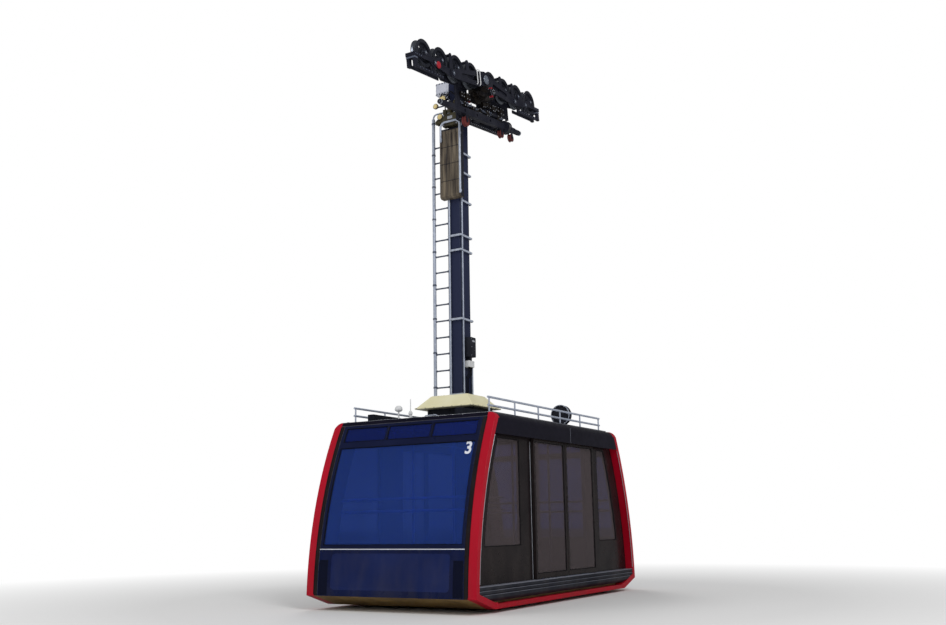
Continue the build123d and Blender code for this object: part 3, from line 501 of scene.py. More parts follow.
GROOVE_R, WHEEL_HALF_W = 195, 55
WHEELS = {f"wheel_{number}": middle_of(f"wheel_{number}") for number in range(1, 9)}
for node, hub in WHEELS.items():
    hub_shown = hub + Vector((-PIN_X, 0, ROPE_TO_BASE))

    def on_wheel(spot, normal, hub=hub_shown):
        reach = math.hypot(spot.x - hub.x, spot.z - hub.z)
        return 1 if reach > GROOVE_R - 2 and abs(spot.y) < 42 else 0
    dress(node, "wheel_iron worn_groove", 0.002, on_wheel)
print("solids of several finishes dressed")

# %% [markdown]
# ## Trees that grow the trim
# Most trim is one small shape met many times: a bead along a path, a screw at each of
# a row of spots, a coil. Three Geometry Nodes trees make them all. Each takes a mesh of
# bare points or edges and a few named numbers, and what it grows is baked into a plain
# mesh that rides on its body, so the grown trim carries no modifiers.

# %% Bake what a tree grows


def new_tree(name, sockets):
    """Empty tree with named inputs, and the identifiers that set them."""
    tree = bpy.data.node_groups.new(name, "GeometryNodeTree")
    tree.interface.new_socket("Geometry", in_out="INPUT", socket_type="NodeSocketGeometry")
    names = {}
    for label, kind in sockets:
        socket = tree.interface.new_socket(label, in_out="INPUT", socket_type="NodeSocket" + kind)
        names[label] = socket.identifier
    tree.interface.new_socket("Geometry", in_out="OUTPUT", socket_type="NodeSocketGeometry")
    return tree, names, tree.nodes.new("NodeGroupInput"), tree.nodes.new("NodeGroupOutput")


def close_tree(tree, grown, given, out):
    """End a tree in Realize Instances and Set Material."""
    real = node_in(tree, "GeometryNodeRealizeInstances", {}, {"Geometry": grown})
    coat = node_in(tree, "GeometryNodeSetMaterial", {},
                   {"Geometry": real.outputs["Geometry"], "Material": given.outputs["Look"]})
    link(tree, coat.outputs["Geometry"], out.inputs["Geometry"])


def stand(name, mesh, body):
    """Put a finished mesh in the scene on its body."""
    piece = bpy.data.objects.new(name, mesh)
    bpy.context.scene.collection.objects.link(piece)
    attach(piece, body)
    return piece


def bake(name, seed, tree, values, body, degrees):
    """Grow a tree on a seed mesh and keep the result as one plain mesh."""
    holder = bpy.data.objects.new("seed_" + name, seed)
    bpy.context.scene.collection.objects.link(holder)
    grow = holder.modifiers.new("grow", "NODES")
    grow.node_group = tree
    for identifier, value in values.items():
        grow[identifier] = value
    bpy.context.view_layer.update()
    graph = bpy.context.evaluated_depsgraph_get()
    mesh = bpy.data.meshes.new_from_object(holder.evaluated_get(graph))
    mesh.name = name
    holder.modifiers.clear()
    bpy.data.objects.remove(holder)
    shade(mesh, degrees)
    return stand(name, mesh, body)


# %% [markdown]
# A bead is what a seal, a hose, a weld and a strip of trim have in common: a round
# section carried along a path. The corners of the path are rounded first, as rubber
# and steel tube both need a bend.

# %% A bead along a path
BEAD, BEAD_IN, given, out = new_tree("bead", [("Radius", "Float"), ("Bend", "Float"), ("Look", "Material")])
path = node_in(BEAD, "GeometryNodeMeshToCurve", {}, {"Mesh": given.outputs["Geometry"]})
bend = node_in(BEAD, "GeometryNodeFilletCurve", {"Count": 5, "Limit Radius": True},
               {"Curve": path.outputs["Curve"], "Radius": given.outputs["Bend"]}, mode="POLY")
section = node_in(BEAD, "GeometryNodeCurvePrimitiveCircle", {"Resolution": 10},
                  {"Radius": given.outputs["Radius"]})
carry = node_in(BEAD, "GeometryNodeCurveToMesh", {"Fill Caps": True},
                {"Curve": bend.outputs["Curve"], "Profile Curve": section.outputs["Curve"]})
close_tree(BEAD, carry.outputs["Mesh"], given, out)


def beads(name, body, look, radius, runs, turn=0.0, closed=False):
    """Beads along paths, all of one radius in millimetres and one look."""
    points = [drawn_on(body)(*point) for run in runs for point in run]
    edges = []
    start = 0
    for run in runs:
        last = start + len(run) - 1
        edges += [(i, i + 1) for i in range(start, last)]
        if closed:
            edges.append((last, start))
        start = last + 1
    seed = bpy.data.meshes.new(name + "_path")
    seed.from_pydata(points, edges, [])
    values = {BEAD_IN["Radius"]: radius / 1000, BEAD_IN["Bend"]: turn / 1000, BEAD_IN["Look"]: finishes[look]}
    return bake(name, seed, BEAD, values, body, 70)


# %% [markdown]
# A head is a short cone frustum on a washer, turned to stand on its surface: with six
# sides it is a bolt, with twelve a screw or a rivet. Each spot carries the direction
# it looks in as an attribute, and the tree aligns the head to it.

# %% Heads on their spots


def aimed(tree, given, shape):
    """Instances of a shape on the seed's points, each turned the way its point looks."""
    aim = node_in(tree, "GeometryNodeInputNamedAttribute", {"Name": "aim"}, {}, data_type="FLOAT_VECTOR")
    turn = node_in(tree, "FunctionNodeAlignRotationToVector", {}, {"Vector": aim.outputs["Attribute"]},
                   axis="Z")
    place = node_in(tree, "GeometryNodeInstanceOnPoints", {}, {
        "Points": given.outputs["Geometry"], "Instance": shape, "Rotation": turn.outputs["Rotation"]})
    return place.outputs["Instances"]


HEAD, HEAD_IN, given, out = new_tree("head", [
    ("Sides", "Int"), ("Foot", "Float"), ("Top", "Float"), ("Height", "Float"), ("Washer", "Float"),
    ("Look", "Material")])
cone = node_in(HEAD, "GeometryNodeMeshCone", {}, {
    "Vertices": given.outputs["Sides"], "Radius Bottom": given.outputs["Foot"],
    "Radius Top": given.outputs["Top"], "Depth": given.outputs["Height"]})
thin = node_in(HEAD, "ShaderNodeMath", {1: 0.3}, {0: given.outputs["Height"]}, operation="MULTIPLY")
washer = node_in(HEAD, "GeometryNodeMeshCone", {"Vertices": 14}, {
    "Radius Bottom": given.outputs["Washer"], "Radius Top": given.outputs["Washer"],
    "Depth": thin.outputs[0]})
joined = node_in(HEAD, "GeometryNodeJoinGeometry", {}, {"Geometry": cone.outputs["Mesh"]})
link(HEAD, washer.outputs["Mesh"], joined.inputs["Geometry"])
close_tree(HEAD, aimed(HEAD, given, joined.outputs["Geometry"]), given, out)


def seed_of(name, body, spots):
    """Bare points that know which way they look."""
    seed = bpy.data.meshes.new(name + "_spots")
    seed.from_pydata([drawn_on(body)(*spot) for spot, way in spots], [], [])
    looks = seed.attributes.new("aim", "FLOAT_VECTOR", "POINT")
    looks.data.foreach_set("vector", [value for spot, way in spots for value in way])
    return seed


def heads(name, body, look, kind, size, spots):
    """Bolts, screws or rivets of one size in millimetres at their spots."""
    sides, top, height, washer = {
        "bolt": (6, 0.96, 0.75, 1.35), "screw": (12, 0.72, 0.5, 1.05), "rivet": (10, 0.55, 0.42, 0.9)}[kind]
    values = {
        HEAD_IN["Sides"]: sides, HEAD_IN["Foot"]: size / 1000, HEAD_IN["Top"]: top * size / 1000,
        HEAD_IN["Height"]: height * size / 1000, HEAD_IN["Washer"]: washer * size / 1000,
        HEAD_IN["Look"]: finishes[look]}
    return bake(name, seed_of(name, body, spots), HEAD, values, body, 35)


# %% [markdown]
# A coil serves twice: as a pressure spring round the rods of the rope brake, and as
# the turns of rope that lie on the drum of the haul beam.

# %% Coils
COIL, COIL_IN, given, out = new_tree("coil", [
    ("Turns", "Float"), ("Radius", "Float"), ("Length", "Float"), ("Wire", "Float"), ("Look", "Material")])
spiral = node_in(COIL, "GeometryNodeCurveSpiral", {"Resolution": 24}, {
    "Rotations": given.outputs["Turns"], "Start Radius": given.outputs["Radius"],
    "End Radius": given.outputs["Radius"], "Height": given.outputs["Length"]})
wire = node_in(COIL, "GeometryNodeCurvePrimitiveCircle", {"Resolution": 7}, {"Radius": given.outputs["Wire"]})
wind = node_in(COIL, "GeometryNodeCurveToMesh", {"Fill Caps": True},
               {"Curve": spiral.outputs["Curve"], "Profile Curve": wire.outputs["Curve"]})
close_tree(COIL, aimed(COIL, given, wind.outputs["Mesh"]), given, out)


def coils(name, body, look, turns, radius, length, thick, spots):
    values = {
        COIL_IN["Turns"]: float(turns), COIL_IN["Radius"]: radius / 1000, COIL_IN["Length"]: length / 1000,
        COIL_IN["Wire"]: thick / 1000, COIL_IN["Look"]: finishes[look]}
    return bake(name, seed_of(name, body, spots), COIL, values, body, 70)


print("three trees ready:", BEAD.name, HEAD.name, COIL.name)

# %% [markdown]
# Covers, plates and lamps are plainer: boxes between two corners and discs turned from
# a profile. Both are drawn with bmesh in the frame of the cabin or of the carriage.

# %% Boxes and turned pieces


def finished(name, work, look, body, edge):
    """Close a drawn shape: outward faces, one look and rounded edges."""
    bmesh.ops.recalc_face_normals(work, faces=work.faces)
    mesh = bpy.data.meshes.new(name)
    work.to_mesh(mesh)
    work.free()
    mesh.materials.append(finishes[look])
    shade(mesh)
    piece = stand(name, mesh, body)
    round_off(piece, edge / 1000)
    return piece


BOX_FACES = ((0, 1, 3, 2), (4, 6, 7, 5), (0, 4, 5, 1), (2, 3, 7, 6), (0, 2, 6, 4), (1, 5, 7, 3))


def boxes(name, body, look, rows, edge=2):
    """Boxes between low and high corners, given as x, y and z pairs."""
    work = bmesh.new()
    for xs, ys, zs in rows:
        corners = [work.verts.new(drawn_on(body)(x, y, z)) for x in xs for y in ys for z in zs]
        for face in BOX_FACES:
            work.faces.new([corners[i] for i in face])
    return finished(name, work, look, body, edge)


def turned(name, body, look, rows, sides=28, edge=1):
    """Turned pieces: centre, axis and a profile of radius and distance along the axis."""
    work = bmesh.new()
    for centre, axis, profile in rows:
        centre, axis = Vector(centre), Vector(axis).normalized()
        first = axis.orthogonal().normalized()
        second = axis.cross(first)
        rings = []
        for radius, along in profile:
            middle = centre + axis * along
            ring = []
            for i in range(sides):
                angle = 2 * math.pi * i / sides
                spot = middle + (first * math.cos(angle) + second * math.sin(angle)) * radius
                ring.append(work.verts.new(drawn_on(body)(*spot)))
            rings.append(ring)
        for low, high in zip(rings, rings[1:]):
            for i in range(sides):
                work.faces.new((low[i], low[(i + 1) % sides], high[(i + 1) % sides], high[i]))
        work.faces.new(rings[0][::-1])
        work.faces.new(rings[-1])
    return finished(name, work, look, body, edge)


def spread(start, end, count):
    """Evenly spaced values with both ends."""
    return [start + (end - start) * i / (count - 1) for i in range(count)]


# %% [markdown]
# ## The cabin's ends
# The panes sit twenty-two millimetres behind the frame in a rubber bead, like those of
# a coach. The bead runs round each opening in the step between glass and frame, and
# follows the arc of the end because its side runs are sampled along that arc.

# %% Window beads of the ends
PANE_HALF, SCREEN, TRANSOM, MULLION = 1145, (830, 2205), (2290, 2500), 24
BEAD_BACK, BEAD_IN_PANE = 14, 5


def pane_run(side, left, right, low, high):
    """Closed run round a pane of an end, a little inside its opening."""
    low, high = low + BEAD_IN_PANE, high - BEAD_IN_PANE
    up = [on_end(side, right - BEAD_IN_PANE, z, -BEAD_BACK) for z in spread(low, high, 9)]
    down = [on_end(side, left + BEAD_IN_PANE, z, -BEAD_BACK) for z in spread(high, low, 9)]
    return up + down


PANES = [(-PANE_HALF, PANE_HALF, *SCREEN)]
for i in range(3):
    start = -PANE_HALF + i * 2 * PANE_HALF / 3
    PANES.append((start + MULLION / 2, start + 2 * PANE_HALF / 3 - MULLION / 2, *TRANSOM))
runs = [pane_run(side, *pane) for side in SIDES for pane in PANES]
beads("end_window_beads", "hanger", "seal_rubber", 8, runs, closed=True)

# %% [markdown]
# A bright line crosses each end at the top of the lower panel. A pale bead along the
# upper edge of the top bar and one along the rear edge of each red flange are painted
# highlights on those edges. They are drawn from the photograph, where they are the
# thinnest bright lines on the shell.

# %% Bright lines on the shell
PANEL_TOP, WALL_IN = 770, 1190
line = [(on_end(side, -WALL_IN + 4, PANEL_TOP + 6, 1), on_end(side, WALL_IN - 4, PANEL_TOP + 6, 1))
        for side in SIDES]
beads("panel_line", "hanger", "marking_white", 6, line)
# Painted highlight along the upper edge of the top bar.
edge_line = [[(side * (ROOF_EDGE[0] - 9), y * (HOOP_OUT - 90), ROOF_Z - 2) for y in SIDES] for side in SIDES]
beads("top_bar_line", "hanger", "bare_aluminium", 5, edge_line)
HOOP_DEPTH = 85
# Painted highlight along the rear edge of each red flange.
rear = [[(side * (end_x(z, HOOP_DEPTH) - 4), y * (HOOP_OUT - 1), z) for z in spread(330, 2280, 12)]
        for side in SIDES for y in SIDES]
beads("flange_trim", "hanger", "bare_aluminium", 4, rear)
inner = [[on_end(side, y * (WALL_OUT + 2), z) for z in spread(170, 2530, 14)]
         for side in SIDES for y in SIDES]
beads("flange_seal", "hanger", "seal_rubber", 6, inner)

spots = []
for side in SIDES:
    for z in (PANEL_TOP - 22, 172):
        spots += [(on_end(side, y, z), end_normal(side, z)) for y in spread(-1140, 1140, 15)]
    for y in (8 - WALL_IN, WALL_IN - 8):
        for z in spread(250, 690, 5) + spread(860, 2480, 12):
            spots.append((on_end(side, y, z), end_normal(side, z)))
heads("end_screws", "hanger", "box_grey", "screw", 7, spots)
print(len(runs), "panes beaded,", len(spots), "screws on the ends")

# %% [markdown]
# The numeral on the windscreen is a plain cut film. It starts as a text outline, which
# is turned into a mesh and laid point by point on the outer face of the curved pane.

# %% The numeral
GLASS_SET, NUMERAL_Y, NUMERAL_Z = 22, -990, 2030
digit = bpy.data.curves.new("digit", "FONT")
digit.body = "3"
digit.size = 0.235
digit.extrude = 0.0006
digit.offset = 0.006
digit.resolution_u = 4
holder = bpy.data.objects.new("digit", digit)
bpy.context.scene.collection.objects.link(holder)
film = bpy.data.meshes.new_from_object(holder.evaluated_get(bpy.context.evaluated_depsgraph_get()))
bpy.data.objects.remove(holder)
work = bmesh.new()
work.from_mesh(film)
bmesh.ops.remove_doubles(work, verts=work.verts, dist=0.00001)
work.to_mesh(film)
work.free()
for vertex in film.vertices:
    across, up, thick = vertex.co * 1000
    z = NUMERAL_Z + up
    vertex.co = at_cabin(-(end_x(z) - GLASS_SET + 1.2 + thick), NUMERAL_Y - across, z)
work = bmesh.new()
work.from_mesh(film)
bmesh.ops.recalc_face_normals(work, faces=work.faces)
work.to_mesh(film)
work.free()
film.materials.clear()
film.materials.append(finishes["marking_white"])
stand("windscreen_numeral", film, "hanger")

# %% [markdown]
# ## The cabin's sides
# Seen from the side the cabin is nearly all glass. The fixed panes have a bead round
# their sloping outline, the door leaves carry their own beads and a soft rubber where
# they meet, and one bright upright marks the pillar beside the doors.

# %% Beads and strips of the sides
WINDOW_Z, WINDOW_BACK, WINDOW_START = (790, 2270), 400, (1215, 1545)


def window_run(end, side):
    """Closed run round a fixed side window: end is -1 near or 1 far."""
    start = WINDOW_START[(end + 1) // 2]
    low, high = WINDOW_Z[0] + 5, WINDOW_Z[1] - 5
    y = side * (WALL_OUT - 7)
    sloped = [(end * (end_x(z) - WINDOW_BACK - 5), y, z) for z in spread(low, high, 9)]
    return sloped + [(end * (start + 5), y, high), (end * (start + 5), y, low)]


runs = [window_run(end, side) for end in SIDES for side in SIDES]
beads("side_window_beads", "hanger", "seal_rubber", 8, runs, closed=True)

DOOR_X, LEAF_W, LEAF_Z, LEAF_OUT, LEAF_FRAME = 220, 1070, (308, 2340), 1302, 48
PANE_Z = (LEAF_Z[0] + 70, LEAF_Z[1] - 70)
for hand, side in (("left", 1), ("right", -1)):
    for place, end in (("far", 1), ("near", -1)):
        leaf = f"door_{hand}_{place}"
        inner_x, outer_x = DOOR_X + end * 5, DOOR_X + end * (5 + LEAF_W)
        y = side * (LEAF_OUT - 8)
        a, b = inner_x + end * (LEAF_FRAME + 4), outer_x - end * (LEAF_FRAME + 4)
        low, high = PANE_Z[0] + 4, PANE_Z[1] - 4
        run = [(a, y, low), (b, y, low), (b, y, high), (a, y, high)]
        beads(leaf + "_bead", leaf, "seal_rubber", 7, [run], turn=30, closed=True)
        meet = DOOR_X + end * 6.5
        strip = [(meet, side * (LEAF_OUT - 14), z) for z in (LEAF_Z[0] + 6, LEAF_Z[1] - 6)]
        beads(leaf + "_meeting_rubber", leaf, "seal_rubber", 5, [strip])
        way = Vector((0, side, 0))
        spots = [((x, side * LEAF_OUT, z), way) for x in (inner_x + end * 22, outer_x - end * 22)
                 for z in spread(LEAF_Z[0] + 60, LEAF_Z[1] - 60, 7)]
        heads(leaf + "_screws", leaf, "box_grey", "screw", 6, spots)

LEAF_EDGE_X = DOOR_X - 5 - LEAF_W
rows = []
for side in SIDES:
    y = sorted((side * (WALL_OUT - 2), side * (WALL_OUT + 4)))
    rows.append(((LEAF_EDGE_X - 26, LEAF_EDGE_X - 14), y, (312, 2266)))
boxes("pillar_strips", "hanger", "bare_aluminium", rows)
SILL_TOP = 302.5
rows = [((-578, 1018), sorted((side * (WALL_OUT + 2), side * (HOOP_OUT - 14))), (SILL_TOP - 3, SILL_TOP))
        for side in SIDES]
boxes("door_sills", "hanger", "bare_aluminium", rows, 1)
grooves = [[(x, side * y, SILL_TOP) for x in (-570, 1010)] for side in SIDES for y in spread(1262, 1358, 7)]
beads("sill_ribs", "hanger", "dull_zinc", 2, grooves)

joints = [[(280, side * (HOOP_OUT - 1), z) for z in (2304, 2536)] for side in SIDES]
beads("header_joint", "hanger", "fender_edge", 2.5, joints)
spots = []
for side in SIDES:
    way = Vector((0, side, 0))
    spots += [((x, side * HOOP_OUT, 2318), way) for x in spread(-1980, 1980, 23)]
    spots += [((x, side * HOOP_OUT, 2528), way) for x in spread(-1960, 1960, 23)]
    spots += [((x, side * (HOOP_OUT - 6), 286), way) for x in spread(-2440, 2440, 17)]
heads("side_screws", "hanger", "box_grey", "screw", 6.5, spots)
print("sides beaded and screwed")

# %% [markdown]
# ## Inside the cabin
# Through the tinted glass one sees a dark mat on the floor, a pale ceiling with two
# rows of lamps, and the foot of each pole. These few pieces give the eye something to
# find behind the panes.

# %% Mat, ceiling lamps and pole feet
boxes("floor_mat", "hanger", "mat_grey", [((-2300, 2300), (-1150, 1150), (150, 155))], 0)
rows = [((x - 420, x + 420), (y - 60, y + 60), (CEILING - 28, CEILING))
        for x in (-1300, 0, 1300) for y in (-620, 620)]
boxes("ceiling_lamps", "hanger", "white_moulding", rows, 8)
POLES = [(x, y) for x in (-1550, 1550) for y in (-350, 350)]
rows = [((x, y, z), (0, 0, way), ((42, 0), (42, 5), (24, 14), (24, 20))) for x, y in POLES
        for z, way in ((155, 1), (CEILING, -1))]
turned("pole_feet", "hanger", "bare_aluminium", rows, 20)
RAIL_Y, RAIL_Z = (-760, 760), CEILING - 190
rows = [[(x, y, RAIL_Z) for x in (-1480, 1480)] for y in RAIL_Y]
beads("ceiling_rails", "hanger", "galvanised", 16, rows)
rows = [[(x, y, RAIL_Z), (x, y, CEILING)] for x in (-1440, -480, 480, 1440) for y in RAIL_Y]
beads("ceiling_rail_hangers", "hanger", "galvanised", 9, rows)
print("inside furnished with", len(POLES), "poles")

# %% [markdown]
# ## The roof
# The roof panel is welded from strips, so it has raised seams, a hatch for rescue and a
# louvred vent. The louvres, like the seams, stay low, because the frame of beams and
# the cover of the column's foot stand over the middle.

# %% Seams, hatch and vent
LEFT, RIGHT, FORWARD, UP = Vector((0, 1, 0)), Vector((0, -1, 0)), Vector((-1, 0, 0)), Vector((0, 0, 1))
SEAM_X, SEAM_TOP = (-1850, -1120, 1120, 1850), ROOF_Z + 7
rows = [((x - 14, x + 14), (-1196, 1196), (ROOF_Z - 1, SEAM_TOP)) for x in SEAM_X]
boxes("roof_seams", "hanger", "roof_sheet", rows, 3)
spots = [((x, y, SEAM_TOP), UP) for x in SEAM_X for y in spread(-1150, 1150, 12)]
heads("seam_screws", "hanger", "dull_zinc", "screw", 6, spots)
HATCH_X, HATCH_Y, HATCH_TOP = (-1800, -1180), (-330, 330), ROOF_Z + 34
boxes("roof_hatch", "hanger", "roof_sheet", [(HATCH_X, HATCH_Y, (ROOF_Z - 1, HATCH_TOP))], 12)
rows = [((HATCH_X[1] - 6, HATCH_X[1] + 30), (y - 45, y + 45), (ROOF_Z, ROOF_Z + 22)) for y in (-220, 220)]
rows += [((HATCH_X[0] - 34, HATCH_X[0] + 8), (y - 25, y + 25), (ROOF_Z, ROOF_Z + 26)) for y in (-200, 200)]
boxes("hatch_fittings", "hanger", "dull_zinc", rows, 4)
grip = [(-1600, -110, HATCH_TOP), (-1600, -110, HATCH_TOP + 40), (-1600, 110, HATCH_TOP + 40),
        (-1600, 110, HATCH_TOP)]
beads("hatch_grip", "hanger", "galvanised", 9, [grip], turn=26)
boxes("vent_frame", "hanger", "roof_sheet", [((1250, 1750), (-300, 300), (ROOF_Z - 1, ROOF_Z + 16))], 5)
slats = [((x - 4, x + 16), (-262, 262), (ROOF_Z + 14, ROOF_Z + 30)) for x in spread(1290, 1700, 14)]
boxes("vent_slats", "hanger", "dull_zinc", slats, 2)

# %% [markdown]
# Three things stand on the roof near its edges: a lamp on a short post and an aerial at
# the front, and a round floodlight on a foot at the right. The solids give their places
# as plain drums. Here each gets its real form, turned from a profile.

# %% Lamp, aerial and floodlight
LAMP, AERIAL = (-1750, 475, ROOF_Z), (-1750, 262.5, ROOF_Z)
post = ((44, 0), (44, 8), (12, 10), (12, 145), (40, 150), (58, 170), (58, 186), (50, 212), (30, 231),
        (8, 238))
stub = ((30, 0), (30, 6), (22, 8), (22, 88), (30, 92), (30, 118), (20, 138), (7, 148), (6, 320))
lamps = turned("roof_lamps", "hanger", "white_moulding", [(LAMP, UP, post), (AERIAL, UP, stub)], 28)
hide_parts("roof_fittings")

FLOOD_X, FLOOD_Y, FLOOD_Z = 1012, -900, 2830
drum = ((158, -30), (165, -24), (165, 75), (160, 82), (143, 82), (141, 68), (56, 68), (52, 74), (36, 80),
        (12, 82))
turned("floodlight", "hanger", "box_grey", [((FLOOD_X, FLOOD_Y, FLOOD_Z), FORWARD, drum)], 48, 1.5)


def round_flood(x, radius, count):
    """Spots of a circle in a plane across the floodlight's axis."""
    angles = [2 * math.pi * i / count for i in range(count)]
    return [(x, FLOOD_Y + radius * math.cos(angle), FLOOD_Z + radius * math.sin(angle)) for angle in angles]


beads("flood_rim", "hanger", "galvanised", 7, [round_flood(FLOOD_X - 78, 163, 36)], closed=True)
spots = [(spot, FORWARD) for spot in round_flood(FLOOD_X - 83, 152, 12)]
heads("flood_screws", "hanger", "bare_aluminium", "screw", 6, spots)
foot = ((FLOOD_X - 60, FLOOD_X + 10), (FLOOD_Y - 55, FLOOD_Y + 55), (ROOF_Z - 1, FLOOD_Z - 120))
boxes("flood_foot", "hanger", "box_grey", [foot], 6)
print("roof dressed")

# %% [markdown]
# ## The hanger
# The column is a welded box with little on it but what climbs it: the ladder, tubes in
# their bands, the switch box and the ribbed casing. Its foot stands in a dark frame on
# the roof beams, under a pale hood whose four sides slope.

# %% Cover and stand of the foot
COLUMN_Y, COLUMN_HALF_L, COLUMN_HALF_W = 430, 160, 105
PIN_Z = ROPE_TO_BASE + 200 * math.cos(SLOPE)
COLUMN_TOP, FOOT_LOW = PIN_Z - 700, 2960
COLUMN_RIGHT, COLUMN_LEFT = COLUMN_Y - COLUMN_HALF_W, COLUMN_Y + COLUMN_HALF_W
BEAM_TOP, STAND_TOP, FOOT_TOP = 2740, 2930, 3150
LIP_TOP, LIP_L, LIP_W = STAND_TOP + 24, 940, 1100
COVER_Y, COVER_TOP_L, COVER_TOP_W = 500, 560, 690
CORNERS = ((-1, -1), (1, -1), (1, 1), (-1, 1))


def frustum(work, low, high):
    """Tapered block between two level rectangles: centre y, z, length and width."""
    rings = []
    for y, z, length, width in (low, high):
        rings.append([work.verts.new(at_cabin(a * length / 2, y + b * width / 2, z)) for a, b in CORNERS])
    for i in range(4):
        work.faces.new((rings[0][i], rings[0][(i + 1) % 4], rings[1][(i + 1) % 4], rings[1][i]))
    work.faces.new(rings[0][::-1])
    work.faces.new(rings[1])


hood = bmesh.new()
frustum(hood, (COVER_Y, STAND_TOP, LIP_L, LIP_W), (COVER_Y, LIP_TOP, LIP_L, LIP_W))
frustum(hood, (COVER_Y, LIP_TOP, LIP_L - 40, LIP_W - 40), (COVER_Y, FOOT_TOP, COVER_TOP_L, COVER_TOP_W))
hood = finished("foot_hood", hood, "cover_cream", "hanger", 10)
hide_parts("foot_cover")
rows = [((-300, 300), (52, 880), (BEAM_TOP - 1, STAND_TOP))]
rows += [((x - 14, x + 14), (30, 902), (BEAM_TOP - 1, STAND_TOP - 1)) for x in (-292, 292)]
rows += [((-310, 310), (y - 14, y + 14), (BEAM_TOP - 1, STAND_TOP - 1)) for y in (62, 466, 870)]
boxes("foot_stand", "hanger", "beam_paint", rows, 4)

# %% [markdown]
# A rubber collar closes the cover round the column, a weld bead marks the joint with
# the head, and bolts hold each band of the tubes.

# %% Collar, welds, band bolts and rivets


def round_column(z, out):
    """Closed run round the column."""
    return [(a * (COLUMN_HALF_L + out), COLUMN_Y + b * (COLUMN_HALF_W + out), z) for a, b in CORNERS]


beads("foot_collar", "hanger", "seal_rubber", 13, [round_column(FOOT_TOP + 6, 4)], turn=26, closed=True)
beads("column_welds", "hanger", "column_paint", 6, [round_column(COLUMN_TOP, 0)], turn=24, closed=True)

FRONT = -COLUMN_HALF_L
FULL_BANDS, SIDE_BANDS = (0.294, 0.533, 0.585), (0.709, 0.812, 0.883)
BAND_Z = [FOOT_LOW + share * (COLUMN_TOP - FOOT_LOW) for share in FULL_BANDS + SIDE_BANDS]
spots = [((x, COLUMN_RIGHT - 46, z), RIGHT) for z in BAND_Z for x in (-94, 148)]
spots += [((FRONT - 46, y, z), FORWARD) for z in BAND_Z[:len(FULL_BANDS)] for y in (300, 400, 479, 525)]
heads("band_bolts", "hanger", "bare_aluminium", "bolt", 9, spots)

spots = []
for share in spread(-1, 1, 7):
    for side in SIDES:
        x, y = side * (COVER_TOP_L / 2 - 18), COVER_Y + share * (COVER_TOP_W / 2 - 30)
        spots.append(((x, y, FOOT_TOP), UP))
        spots.append(((side * LIP_L / 2, COVER_Y + share * 510, STAND_TOP + 12), Vector((side, 0, 0))))
        spots.append(((share * 430, COVER_Y + side * LIP_W / 2, STAND_TOP + 12), Vector((0, side, 0))))
heads("cover_screws", "hanger", "dull_zinc", "screw", 7, spots)

CASING_X, CASING_Y, CASING_Z = FRONT - 130, (230, 630), (COLUMN_TOP - 1400, COLUMN_TOP - 130)
spots = [((CASING_X, y, z), FORWARD) for z in spread(CASING_Z[0] + 50, CASING_Z[1] - 85, 16)
         for y in (CASING_Y[0] + 12, CASING_Y[1] - 12)]
spots += [((x, y, z), way) for z in spread(CASING_Z[0] + 50, CASING_Z[1] - 80, 13)
          for x in (CASING_X + 18, FRONT - 16) for y, way in ((CASING_Y[0], RIGHT), (CASING_Y[1], LEFT))]
heads("casing_rivets", "hanger", "casing_bronze", "rivet", 8, spots)
seams = [((CASING_X - 1, CASING_Y[0] + 6, z), (CASING_X - 1, CASING_Y[1] - 6, z))
         for z in spread(CASING_Z[0] + 300, CASING_Z[1] - 360, 3)]
beads("casing_seams", "hanger", "box_grey", 4, seams)

DEVICE_X, DEVICE_Y, DEVICE_Z = (-80, 90), COLUMN_RIGHT - 130, (3780, 4110)
SMALL_LOW, SMALL_HIGH, CABLE_Y = 3615, 3720, DEVICE_Y + 62
door = ((DEVICE_X[0] + 12, DEVICE_X[1] - 12), (DEVICE_Y - 6, DEVICE_Y), (DEVICE_Z[0] + 20, DEVICE_Z[1] - 20))
boxes("device_door", "hanger", "box_grey", [door], 4)
plate = ((-40, 40), (DEVICE_Y - 8, DEVICE_Y - 6), (DEVICE_Z[1] - 80, DEVICE_Z[1] - 50))
boxes("device_plate", "hanger", "bare_aluminium", [plate], 0)
spots = [((x, DEVICE_Y - 6, z), RIGHT) for x in (DEVICE_X[0] + 20, DEVICE_X[1] - 20)
         for z in spread(DEVICE_Z[0] + 30, DEVICE_Z[1] - 30, 3)]
spots += [((x, DEVICE_Y + 30, z), RIGHT) for x in (DEVICE_X[0] + 17, DEVICE_X[1] - 17)
          for z in (SMALL_LOW + 13, SMALL_HIGH - 13)]
heads("device_screws", "hanger", "bare_aluminium", "screw", 6, spots)
GLANDS = (-40, 5, 50)
rows = [((x, CABLE_Y, SMALL_LOW + 1), (0, 0, -1), ((13, 0), (13, 12), (10, 26))) for x in GLANDS]
turned("cable_glands", "hanger", "seal_rubber", rows, 14)
cables = [[(x, CABLE_Y, SMALL_LOW - 20), (x, CABLE_Y, SMALL_LOW - 105),
           (x - 10, COLUMN_RIGHT - 8, SMALL_LOW - 175), (x - 10, COLUMN_RIGHT - 8, FOOT_TOP - 10)]
          for x in GLANDS]
beads("switch_cables", "hanger", "seal_rubber", 7, cables, turn=40)
print("column dressed,", len(BAND_Z), "bands bolted")

# %% [markdown]
# The head carries the pin in a pale bearing box that stands out on the side away from
# the rope. Its cover and both caps of the pin are held by bolts. Three hoses feed the
# bearing's damper from the pump, and three small work lamps look forward beside the
# ladder, where the photograph shows bright spots.

# %% Bolt rings, hoses and lamps of the head


def ring(centre, radius, count, axis, turn_by=0.0):
    """Spots of a bolt ring round an axis."""
    axis = Vector(axis).normalized()
    first = axis.orthogonal().normalized()
    second = axis.cross(first)
    found = []
    for i in range(count):
        angle = turn_by + 2 * math.pi * i / count
        found.append(Vector(centre) + (first * math.cos(angle) + second * math.sin(angle)) * radius)
    return found


